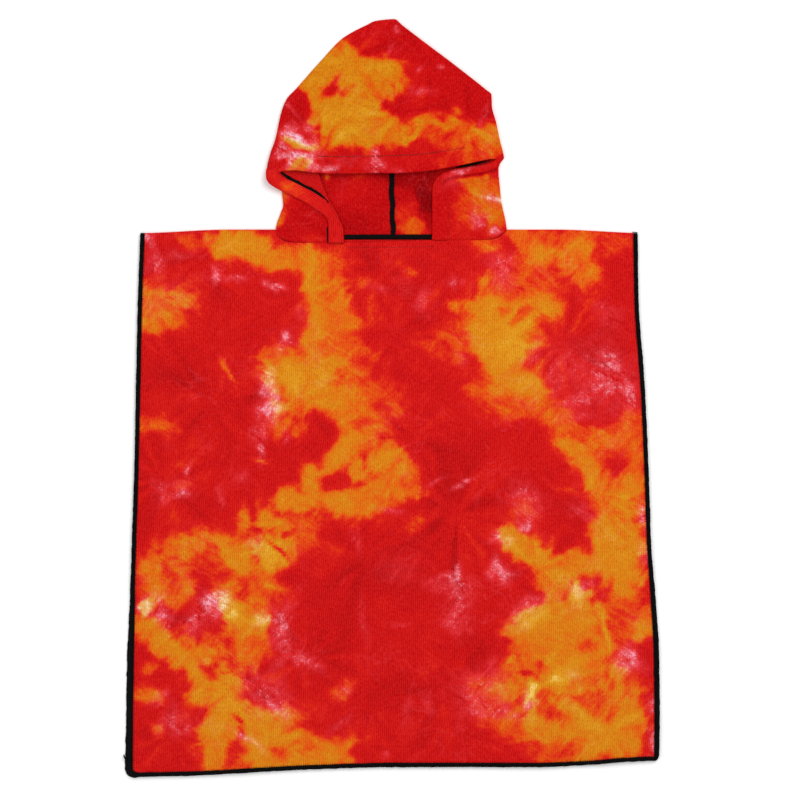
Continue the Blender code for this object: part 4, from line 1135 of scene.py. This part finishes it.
HOOD_DYE = [
    # pixel x, y, width, height, turn, gold dye, feather
    # gold of the upper half
    (330, 72, 74, 46, -48, 1.05, 0.22), (380, 77, 74, 46, 0, 1.0, 0.22), (356, 122, 98, 64, 0, 1.07, 0.2),
    (326, 108, 42, 54, 0, 1.0, 0.3), (392, 94, 34, 20, -10, 0.95, 0.3), (390, 141, 36, 22, -15, 0.98, 0.3),
    (336, 52, 36, 14, -40, 0.75, 0.4), (308, 92, 24, 18, -45, 1.0, 0.4),
    # red round it
    (372, 36, 62, 42, 0, -0.05, 0.2), (294, 109, 24, 36, -10, -0.05, 0.25), (376, 54, 18, 20, 0, 0.0, 0.4),
    (334, 92, 22, 24, -40, 0.0, 0.35), (363, 106, 17, 15, 0, 0.8, 0.6), (422, 80, 30, 40, 0, 0.0, 0.3),
    (420, 108, 70, 32, -8, -0.05, 0.2), (470, 100, 60, 44, 30, -0.05, 0.2),
    # right side
    (437, 129, 46, 26, 10, 0.92, 0.3), (451, 118, 20, 16, 0, 0.75, 0.4), (442, 138, 28, 28, 20, 0.3, 0.35),
    (484, 138, 44, 28, 5, 0.88, 0.3), (465, 145, 18, 16, 0, 0.5, 0.5),
    # lower left
    (298, 138, 46, 18, 15, 0.35, 0.4), (300, 148, 34, 9, 4, 1.05, 0.4), (296, 155, 34, 6, -4, 0.3, 0.4),
    (299, 163, 26, 10, -35, 1.05, 0.4), (311, 163, 8, 18, 15, 0.3, 0.4), (276, 168, 22, 26, 0, 0.1, 0.4),
    # along the mouth
    (385, 165, 150, 15, -1, 0.08, 0.3), (376, 152, 24, 10, 0, 0.2, 0.5), (482, 154, 54, 14, -8, 0.6, 0.5),
    (446, 160, 44, 12, -7, 0.25, 0.5), (405, 142, 36, 15, -8, 0.98, 0.35), (471, 129, 20, 13, 20, 0.85, 0.4),
]
HOOD_BLEACH = [
    # pixel x, y, width, height, turn, undyed share, feather
    (290, 128, 26, 12, -10, 0.8, 0.5), (310, 128, 10, 22, -20, 0.7, 0.5), (297, 140, 36, 10, 22, 1.3, 0.5),
    (300, 148, 34, 5, 4, 0.3, 0.4), (291, 155, 34, 8, -4, 1.25, 0.5), (280, 147, 12, 16, 0, 0.9, 0.5),
    (289, 162, 18, 7, -50, 1.1, 0.5), (300, 164, 20, 5, -35, 0.3, 0.5), (311, 160, 9, 24, 12, 1.0, 0.5),
    (318, 166, 12, 9, 0, 0.8, 0.5), (332, 168, 24, 10, 0, 0.85, 0.5), (349, 160, 15, 9, 20, 0.5, 0.5),
    (374, 163, 17, 15, 0, 0.75, 0.5), (397, 170, 17, 8, 0, 0.4, 0.5), (318, 140, 8, 32, -10, 0.6, 0.5),
    (422, 96, 20, 8, 0, 0.6, 0.6), (484, 116, 4, 26, 20, 0.5, 0.5), (292, 108, 5, 22, -40, 0.5, 0.5),
    (420, 72, 8, 4, -30, 0.7, 0.5), (441, 69, 8, 4, -10, 0.6, 0.5), (399, 30, 9, 6, 30, 0.6, 0.5),
    (392, 50, 12, 5, -50, 0.5, 0.5),
]
RIGHT_ARM_DYE = [
    # columns as in HOOD_DYE
    (481, 194, 60, 42, 5, 0.92, 0.35), (488, 212, 40, 40, 0, 0.82, 0.4), (471, 169, 66, 13, -12, 0.05, 0.35),
    (452, 196, 22, 18, 30, 0.1, 0.5), (457, 219, 20, 30, 0, 0.35, 0.5), (477, 224, 13, 18, 0, 0.15, 0.45),
    (474, 234, 50, 12, 0, 0.1, 0.5), (440, 210, 16, 76, 0, 0.0, 0.4),
]
RIGHT_ARM_BLEACH = [
    # columns as in HOOD_BLEACH
    (493, 201, 19, 7, 12, 1.2, 0.5), (477, 225, 15, 19, 0, 0.75, 0.6), (493, 236, 10, 8, 0, 1.1, 0.5),
    (464, 173, 34, 8, -12, 0.8, 0.5), (452, 185, 16, 16, -40, 0.3, 0.6),
]
LEFT_ARM_DYE = [
    # columns as in HOOD_DYE
    (287, 203, 13, 24, -10, 0.95, 0.5), (295, 200, 12, 18, -20, 0.45, 0.6), (280, 220, 7, 24, 15, 0.8, 0.5),
    (287, 191, 24, 10, 20, 0.5, 0.4), (306, 212, 38, 44, 0, -0.1, 0.4), (312, 240, 24, 8, 0, 0.25, 0.5),
]
INSIDE_DYE_AND_SHADE = [
    # columns as in HOOD_DYE
    # The deep red at pixels (427, 196) and (428, 222), along the right arm's edge, and at (395, 176), under
    # the upper half's edge, is painted shade
    (418, 226, 34, 24, 10, 0.75, 0.4), (408, 212, 26, 14, -30, 0.35, 0.5), (360, 180, 20, 6, -20, 0.75, 0.5),
    (427, 196, 16, 56, 0, -0.85, 0.5), (428, 222, 12, 20, 0, -0.35, 0.5), (352, 222, 60, 24, 0, -0.3, 0.5),
    (395, 176, 70, 16, 0, -0.5, 0.6), (352, 196, 40, 26, 0, 0.05, 0.5), (324, 177, 7, 8, 0, 0.85, 0.5),
]
HOOD_KNOTS = [
    # columns as in KNOTS
    (318, 150, 60, 0.36), (350, 60, 60, 0.22), (398, 112, 60, 0.28), (470, 125, 50, 0.26),
    (430, 60, 70, 0.18),
]


def near_line(x, y, line):
    """Distance in plan from each point to a broken line."""
    best = np.full(x.shape, 1e9)
    for (ax, ay), (bx, by) in zip(line[:-1], line[1:]):
        run_x, run_y = bx - ax, by - ay
        t = np.clip(((x - ax) * run_x + (y - ay) * run_y) / (run_x ** 2 + run_y ** 2), 0, 1)
        best = np.minimum(best, np.hypot(x - ax - t * run_x, y - ay - t * run_y))
    return best


RIB_STEP = 2.8                               # longest way between two rows across the hood
MOUTH_ROWS = (0, 0.15, 0.45, 0.9, 1.5, 2.4)  # rows of points in from the mouth's edge
LEAST_SHARE = 0.02                           # what such a row takes of a short rib at most
LAYER_POINTS, FOLD_POINTS, BACK_POINTS = 58, 12, 46
APEX = 20                                    # rib at the hood's point

numbered = [(k, *rib) for k, rib in enumerate(RIBS)]
rib_steps = []
for k, (rib, after) in enumerate(zip(RIBS[:-1], RIBS[1:])):
    longest = max(math.dist(rib[:2], after[:2]), math.dist(rib[3:5], after[3:5]))
    parts = max(1, round(longest / RIB_STEP))
    rib_steps += [k + part / parts for part in range(parts)]
rib_steps = np.array(rib_steps + [len(RIBS) - 1.0])
mouth_x, mouth_y, mouth_z, crease_x, crease_y, crease_z, seam_y, hem, bend = (
    curve(numbered, column)(rib_steps)[:, None] for column in range(1, 10))
run = np.gradient(np.hstack([crease_x, crease_y]), axis=0)
run /= np.linalg.norm(run, axis=1)[:, None]
out_x, out_y = -run[:, 1:], run[:, :1]
out_x[0], out_y[0], out_x[-1], out_y[-1] = -1, 0, 1, 0
inner_radius = (crease_z - CLOTH) / 2
outer_radius = inner_radius + CLOTH
centre_x, centre_y = crease_x - out_x * outer_radius, crease_y - out_y * outer_radius

length = np.hypot(centre_x - mouth_x, centre_y - mouth_y)
near_mouth = np.array(MOUTH_ROWS)[None, :]
first = near_mouth[0, -1] / length
crowded = length * LEAST_SHARE * np.arange(len(MOUTH_ROWS))
share = np.hstack([np.minimum(near_mouth, crowded) / length,
                   first + (1 - first) * np.linspace(0, 1, LAYER_POINTS)[None, 1:]])
share = np.maximum.accumulate(share, axis=1)
x = mouth_x + (centre_x - mouth_x) * share
y = mouth_y + (centre_y - mouth_y) * share ** bend
z = mouth_z + (crease_z - mouth_z) * smooth(share)

is_top = (rib_steps >= TOP_RIBS[0])[:, None] & (rib_steps <= TOP_RIBS[1])[:, None]
is_right = (rib_steps > TOP_RIBS[1])[:, None]
mouth = list(zip(mouth_x[:, 0], mouth_y[:, 0]))
top_first, top_last = np.searchsorted(rib_steps, TOP_RIBS)
to_mouth = np.where(is_right, near_line(x, y, mouth[top_last:]),
                    near_line(x, y, mouth[top_first:top_last + 1]))
groove = np.exp(-((to_mouth - HEM) / GROOVE[0]) ** 2) * GROOVE[1]
hemmed = 1 - smooth((to_mouth - HEM + HEM_SLOPE / 2) / HEM_SLOPE)
thick = CLOTH + HEM_EXTRA * hem * hemmed - groove * hem
edge_round = rounded(share * length, EDGE_REACH, thick / 2) * 0.9
relief = np.where(is_top, crease_height(x, y, TOP_CREASES), crease_height(x, y, ARM_CREASES))
swells = [height + height * soft_noise(x, y, size, seed) for height, size, seed in HOOD_SWELLS]
relief += np.where(is_top, *swells)
bulge = (smooth(1 - to_mouth / RISE_WIDTH) * smooth((x - RISE_LEFT[0]) / RISE_LEFT[1])
         * smooth((RISE_RIGHT[0] - x) / RISE_RIGHT[1]))
relief += np.where(is_top, MOUTH_RISE * bulge, 0)
relief *= np.where(is_top, 1, smooth(share * RELIEF_ENDS)) * smooth((1 - share) * RELIEF_ENDS)
lip = (smooth((rib_steps - LIP_START[0]) / LIP_START[1])
       * smooth((LIP_END[0] - rib_steps) / LIP_END[1]))
foot = np.exp(-((to_mouth - FOOT_LINE) / FOOT_WIDTH) ** 2)
lip_form = (LIP_HEIGHT * smooth((LIP_WIDTH - to_mouth) / LIP_SLOPES[0])
            * smooth((to_mouth + 1) / LIP_SLOPES[1]) - FOOT_DEPTH * foot)
relief += np.where(is_right, lip[:, None] * lip_form, 0)
seam_dip = SEAM_DIP[0] * (1 - smooth((y - neck_line(x, True)) / SEAM_DIP[1])) * ~is_top
outer_top = (x, y, z + thick - edge_round + relief - seam_dip)
inner_top = (x, y, z + edge_round + relief)

angles = np.linspace(0, math.pi, FOLD_POINTS)[None, 1:-1]
hub_z = CLOTH + inner_radius
outer_fold, inner_fold = ((centre_x + out_x * np.sin(angles) * radius,
                           centre_y + out_y * np.sin(angles) * radius,
                           hub_z + np.cos(angles) * radius) for radius in (outer_radius, inner_radius))

beside_seam = GAP / 2 * np.sign(rib_steps - APEX)[:, None]
share_back = np.linspace(0, 1, BACK_POINTS)[None, :]
x_back = centre_x + (SEAM_X + beside_seam - centre_x) * share_back
y_back = seam_y + (centre_y - seam_y) * (1 - share_back) ** bend
outer_back = (x_back, y_back, np.zeros_like(x_back))
inner_back = (x_back, y_back, CLOTH + crease_height(x_back, y_back, BACK_CREASES))

outer = [np.hstack(parts) for parts in zip(outer_top, outer_fold, outer_back)]
inner = [np.hstack(parts) for parts in zip(inner_top, inner_fold, inner_back)]
x, y = outer[0], outer[1]
LIP_TONE = (0.12, 0.8)   # amount of gold dye on the lip, and how far that covers the layout
TONE_END = (11, 2)       # from the mouth: where that ends, and its run-out
FOOT_SHADE = 0.55         # how much gold dye the painted shade along the fold at the lip's foot takes away
layers = [
    # where a layout holds, its dyed and its undyed places, amount of gold dye elsewhere, seed
    (rib_steps >= TOP_RIBS[0], HOOD_DYE, HOOD_BLEACH, 0.0, 11),
    (rib_steps < TOP_RIBS[0] - 0.5, LEFT_ARM_DYE, [], -0.08, 12),
    (rib_steps > TOP_RIBS[1] + 0.5, RIGHT_ARM_DYE, RIGHT_ARM_BLEACH, 0.1, 13),
]
dye, bleach = np.zeros_like(x), np.zeros_like(x)
for where, places, undyed, ground, seed in layers:
    dye = np.where(where[:, None], dye_field(x, y, places, ground, seed), dye)
    bleach = np.where(where[:, None], dye_field(x, y, undyed, 0.0, seed + 20), bleach)
dye += bursts(x, y, HOOD_KNOTS, 71) * is_top
front_layer = (slice(None), slice(to_mouth.shape[1]))
on_lip = is_right * lip[:, None] * smooth((TONE_END[0] - to_mouth) / TONE_END[1])
dye[front_layer] += (LIP_TONE[0] - dye[front_layer]) * LIP_TONE[1] * on_lip
# Painted shade along the fold at the lip's foot
dye[front_layer] -= FOOT_SHADE * is_right * lip[:, None] * foot
# The inside's dye also carries painted shade along the right arm's edge and under the upper half's edge
inside = dye_field(inner[0], inner[1], INSIDE_DYE_AND_SHADE, -0.1, 14)
hood = cloth("hood", outer, inner, {"dye": (dye, inside), "bleach": (bleach, np.zeros_like(x)),
                                    "weave": (weave_of(x, y), weave_of(inner[0], inner[1]))})
hood.data.materials.append(dyed_terry("dyed_terry_hood", 0.35))
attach(hood, "root")
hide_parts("hood")


# Turned-back band of the hood
# The left arm's face edge, turned back outwards: the cloth's inside shows, with the hem's
# raw edge overlocked in black. Its columns of loops run along it.

BAND_Z = FRONT_Z + CLOTH + GAP
BAND_HEM = 16.0          # width of the hem on the band
NARROW_HEM = 0.85        # share of the band that the hem takes where the band is narrow
HEM_STEP = (1.0, 1.2)    # how far before its end the hem starts to thin, and over what width
BAND_STEPS, PLAIN_POINTS = 96, 18        # points along the band, and across its cloth beyond the hem
PLAIN_TONE = 0.16        # how much less gold dye that cloth shows
PLAIN_FROM, PLAIN_RISE = (2, 3), (225, 12)   # from the hem and in y: where that begins, and its run-in
HEM_SPREAD = (0, 0.01, 0.03, 0.06, 0.1, 0.16, 0.24, 0.34, 0.44, 0.54, 0.64, 0.74, 0.84, 0.92, 0.97, 1.0)
FOLD_ROUND = (2.0, 1.9)  # reach and depth of the rounding at the band's fold
CORD_PITCH, CORD_HEIGHT = 2.6, 0.12      # the columns of loops that run along the band
BAND = [
    # hemmed edge x, y, fold x, y
    (-74.9, 181.1, -56.2, 181.1),
    (-74.9, 196.0, -57.4, 196.0),
    (-75.2, 206.0, -62.5, 210.0),
    (-78.0, 211.5, -67.5, 220.0),
    (-84.0, 216.5, -73.5, 229.5),
    (-91.0, 221.5, -78.0, 240.0),
    (-101.0, 228.0, -82.5, 252.0),
    (-112.5, 234.0, -88.0, 268.0),
    (-124.0, 240.0, -98.0, 276.0),
    (-131.0, 242.5, -112.0, 279.0),
    (-138.5, 246.5, -122.0, 274.0),
    (-144.5, 251.0, -130.0, 270.0),
    (-147.6, 257.0, -132.0, 270.0),
    (-148.0, 264.0, -133.5, 272.0),
    (-146.5, 270.0, -135.0, 275.5),
]
BAND_RISE = [
    # row, how much higher the band lies there than on the hood's arm
    (0, 0.0),
    (8, 0.0),
    (9, 0.6),
    (10, 2.4),
    (11, 4.4),
    (12, 4.9),
    (13, 2.0),
    (14, -1.0),
]
BAND_DYE = [
    # columns as in HOOD_DYE
    (294, 194, 26, 12, 28, 0.42, 0.5),
    (276, 178, 14, 12, 30, 0.22, 0.5),
    (338, 228, 12, 30, 0, 0.14, 0.5),
]

numbered = [(k, *row) for k, row in enumerate(BAND)]
steps = np.linspace(0, len(BAND) - 1, BAND_STEPS)
edge_x, edge_y, fold_x, fold_y = (curve(numbered, column)(steps)[:, None] for column in range(1, 5))
width = np.hypot(fold_x - edge_x, fold_y - edge_y)
hem_end = np.minimum(BAND_HEM, NARROW_HEM * width)
from_hem = np.hstack([hem_end * np.array(HEM_SPREAD)[None, :],
                      hem_end + (width - hem_end) * np.linspace(0, 1, PLAIN_POINTS)[None, 1:]])
x = edge_x + (fold_x - edge_x) * from_hem / width
y = edge_y + (fold_y - edge_y) * from_hem / width
thick = CLOTH + HEM_EXTRA * (1 - smooth((from_hem - hem_end + HEM_STEP[0]) / HEM_STEP[1]))
at_edge = rounded(from_hem, EDGE_REACH, thick / 2)
at_fold = rounded(width - from_hem, *FOLD_ROUND)
gone = np.cumsum(np.hypot(np.diff(edge_x[:, 0]), np.diff(edge_y[:, 0])))
travelled = np.concatenate([[0], gone])[:, None]
cords = CORD_HEIGHT * np.sin(from_hem * 2 * math.pi / CORD_PITCH) * smooth(from_hem / 2)
base = BAND_Z + curve(BAND_RISE, 1)(steps)[:, None]
outer = (x, y, base + thick - at_edge - at_fold + cords)
inner = (x, y, base + at_edge)
weave = np.stack([from_hem, travelled + 0 * from_hem, 0 * from_hem], -1) * MM
dye = dye_field(x, y, BAND_DYE, 0.08, 15)
dye -= (PLAIN_TONE * smooth((from_hem - hem_end - PLAIN_FROM[0]) / PLAIN_FROM[1])
        * smooth((y - PLAIN_RISE[0]) / PLAIN_RISE[1]))
bleach = np.zeros_like(x)
band = cloth("hood_turned_band", outer, inner,
             {"dye": (dye, dye), "bleach": (bleach, bleach), "weave": (weave, weave)})
band.data.materials.append(dyed_terry("dyed_terry_band", 1.0))
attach(band, "root")
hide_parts("hood_turned_band")


# Overlocked seam allowances of the hood
# The seams down the hood's back and round its neck, and the raw edge of its hem, are
# overlocked in the same black thread and lie on the cloth.

SEAM_HEIGHT = 1.3
SEAM_SINK = 0.3          # how deep the stitches' feet sit in a seam's roll
BACK_SEAM_WIDTH = 5.6
NECK_SEAM_WIDTH = 5.2
BAND_SEAM_WIDTH = 4.6

# Pixels through which the hem's black thread runs, on the band and at the mouth's right corner
BAND_EDGE = [(280.5, 171.8), (285, 175.6), (291, 179.6), (301, 184.8), (312, 190.2), (320, 195.2),
             (328, 202.4)]
CORNER_GAP = [(456, 167.8), (463, 166.3), (472, 164.5), (480, 162.8), (488, 161.2)]


def photo_points(pixels):
    """Places on the garment of pixels of the photograph."""
    return [((px - ORIGIN_PIXEL[0]) * PIXEL, (ORIGIN_PIXEL[1] - py) * PIXEL) for px, py in pixels]


def top_of(piece):
    """Function for the height of a piece's upper face at a place."""
    shell = bmesh.new()
    shell.from_mesh(piece.data)
    tree = BVHTree.FromBMesh(shell)
    shell.free()

    def height(px, py):
        hit = tree.ray_cast(Vector((px * MM, py * MM, 1.0)), Vector((0, 0, -1)))[0]
        return hit.z / MM + 0.05 if hit else CLOTH

    return height


def overlocked(name, lines, ragged, seed, node):
    """A piece of overlocking along some lines.

    Each line is given as its points, its width, and how much narrower its ends are.
    """
    parts = []
    for points, width, narrower in lines:
        path = even_path(points, 1.1)
        from_middle = abs(np.linspace(-1, 1, len(path)))
        half_width = width / 2 * (1 - narrower * smooth(from_middle * 2 - 1))
        reach = width * (0.5 - 0.3 * narrower) * MM + 0.0003
        parts += [thread_roll("roll", path, half_width, SEAM_HEIGHT / 2, ragged, seed),
                  stitches(path + np.array([0, 0, SEAM_HEIGHT / 2 - SEAM_SINK]), thread,
                           pitch=OVERLOCK_PITCH, thread_radius=0.00036, inner_reach=reach,
                           outer_reach=reach, slant=0.0008, arch=0.0006, jitter=0.12, seed=seed)]
    seam = joined(name, parts, thread)
    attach(seam, "root")
    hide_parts(node)
    return seam


SEAM_Z = CLOTH + GAP + SEAM_HEIGHT / 2
SEAM_FOOT, SEAM_TOP, SEAM_POINTS = 191.6, 395.0, 25      # y of the back seam's ends, and its points
SEAM_LEAN = (1.2, -0.22)       # x of its foot beside the hood's seam, and its lean from point to point
SEAM_WAVE = (0.7, 1.9)         # how far it winds, and how fast
NECK_SEAM = [(-57.5, 188.4), (-20, 188.5), (20, 188.5), (47, 188.7)]
UNDER_BAND = [(-75.4, 181.6), (-75.6, 190.0), (-76.0, 199.0)]
UNDER_BAND_Z, CORNER_GAP_Z = 4.9, 4.2

back_seam = [(SEAM_X + SEAM_LEAN[0] + SEAM_LEAN[1] * k + SEAM_WAVE[0] * math.sin(k * SEAM_WAVE[1]),
              SEAM_FOOT + (SEAM_TOP - SEAM_FOOT) * k / (SEAM_POINTS - 1), SEAM_Z)
             for k in range(SEAM_POINTS)]
neck_seam = [(px, py, SEAM_Z) for px, py in NECK_SEAM]
under_band = [(px, py, UNDER_BAND_Z) for px, py in UNDER_BAND]
corner_gap = [(px, py, CORNER_GAP_Z) for px, py in photo_points(CORNER_GAP)]
on_band = top_of(band)
on_band_edge = [(px, py, on_band(px, py) + SEAM_HEIGHT / 2 - 0.2) for px, py in photo_points(BAND_EDGE)]
hood_back_seam = overlocked("hood_back_seam", [(back_seam, BACK_SEAM_WIDTH, 0)], 0.12, 51, "seam_hood_back")
hood_neck_seam = overlocked("hood_neck_seam", [(neck_seam, NECK_SEAM_WIDTH, 0)], 0.10, 52, "seam_neck_back")
hem_lines = [(on_band_edge, BAND_SEAM_WIDTH, 0.6), (under_band, 1.8, 0.3), (corner_gap, 2.4, 0.7)]
hood_hem_edge = overlocked("hood_hem_edge", hem_lines, 0.16, 53, "seam_hood_hem")


# Stitch lines
# Lines of lock stitches hold the hem round the hood's mouth, and one lies below the neck
# seam. The thread is sunk in the pile, so that it shows as a fine dark line.

def dark_red_thread():
    """Matt cotton thread, dyed together with the cloth."""
    material, tree, shader = new_material("dark_red_thread", 0.8)
    place = put(tree, "ShaderNodeTexCoord").outputs["Object"]
    tone = put(tree, "ShaderNodeTexNoise", {"Vector": place, "Scale": 120.0}).outputs["Fac"]
    tree.links.new(mixed(tree, from_range(tree, tone, 0.35, 0.65), srgb(96, 8, 8), srgb(150, 14, 14)),
                   shader.inputs["Base Color"])
    return material


sewing_thread = dark_red_thread()

STITCH = 2.8             # length of a lock stitch with its gap


def stitch_line(name, points, height, thickness):
    """Lock stitches along a line, each a short thread pulled down at its two ends."""
    path = even_path([(px, py, height(px, py)) for px, py in points], 2.0)
    made = stitches(path, sewing_thread, pitch=STITCH * MM, thread_radius=thickness / 2 * MM, inner_reach=0.0,
                    outer_reach=0.00002, slant=0.0022, arch=0.00035, jitter=0.1, seed=3)
    line = joined(name, [made], sewing_thread)
    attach(line, "root")
    return line


# Pixels through which the stitch lines run
HEM_LINE = [(318, 156.8), (346, 156.8), (376, 156.5), (418, 155), (440, 152)]
FAINT_HEM_LINE = [(442, 151.8), (465, 148), (496, 143.5)]
ARM_LINE = [(448.5, 239), (448.3, 215), (448, 204)]
NECK_LINE = [(346, 248), (390, 247.6), (432, 246.5)]

on_hood, on_front = top_of(hood), top_of(front)
hood_hem_stitches = stitch_line("hood_hem_stitches", photo_points(HEM_LINE), on_hood, 0.7)
faint_hem_stitches = stitch_line("faint_hem_stitches", photo_points(FAINT_HEM_LINE), on_hood, 0.45)
arm_hem_stitches = stitch_line("arm_hem_stitches", photo_points(ARM_LINE), on_hood, 0.3)
neck_stitches = stitch_line("neck_stitches", photo_points(NECK_LINE), on_front, 0.4)


# Table, light and camera
# A plain pale table, lit softly from all round and a little more from the upper right,
# seen from straight above.

PHOTO_SIZE = 800         # pixels
VIEW_MIDDLE = ((PHOTO_SIZE / 2 - ORIGIN_PIXEL[0]) * PIXEL * MM,
               (ORIGIN_PIXEL[1] - PHOTO_SIZE / 2) * PIXEL * MM)
VIEW_WIDTH = PHOTO_SIZE * PIXEL * MM
TABLE_HALF, TABLE_TOP = 4.0, -0.0004             # metres
STUDIO_LIGHT = 0.62
LAMPS = [
    # name, place, size and power of a soft lamp, in metres and watts
    ("key", (1.0, 1.3, 2.4), 1.9, 42.0),
    ("fill", (-1.6, -0.8, 2.6), 1.6, 20.0),
]
LENS, SENSOR = 200.0, 36.0                       # millimetres

table_mesh = bmesh.new()
bmesh.ops.create_grid(table_mesh, x_segments=2, y_segments=2, size=TABLE_HALF)
mesh = bpy.data.meshes.new("table")
table_mesh.to_mesh(mesh)
table_mesh.free()
for vertex in mesh.vertices:
    vertex.co.z = TABLE_TOP
paper, tree, shader = new_material("pale_table", 0.9)
shader.inputs["Base Color"].default_value = srgb(254, 254, 254)
mesh.materials.append(paper)
table = placed("table", mesh)

world = bpy.data.worlds.new("studio")
world.use_nodes = True
world.node_tree.nodes["Background"].inputs["Color"].default_value = (1.0, 1.0, 1.0, 1.0)
world.node_tree.nodes["Background"].inputs["Strength"].default_value = STUDIO_LIGHT
bpy.context.scene.world = world

for name, place, size, power in LAMPS:
    lamp = bpy.data.lights.new(name, "AREA")
    lamp.size = size
    lamp.energy = power
    holder = placed(name, lamp)
    holder.location = place
    holder.rotation_euler = (-Vector(place)).to_track_quat("-Z", "Y").to_euler()

camera = bpy.data.cameras.new("camera")
camera.lens = LENS
camera.sensor_width = SENSOR
eye = placed("camera", camera)
eye.location = (*VIEW_MIDDLE, VIEW_WIDTH * LENS / SENSOR)
bpy.context.scene.camera = eye
bpy.context.scene.view_settings.view_transform = "Standard"
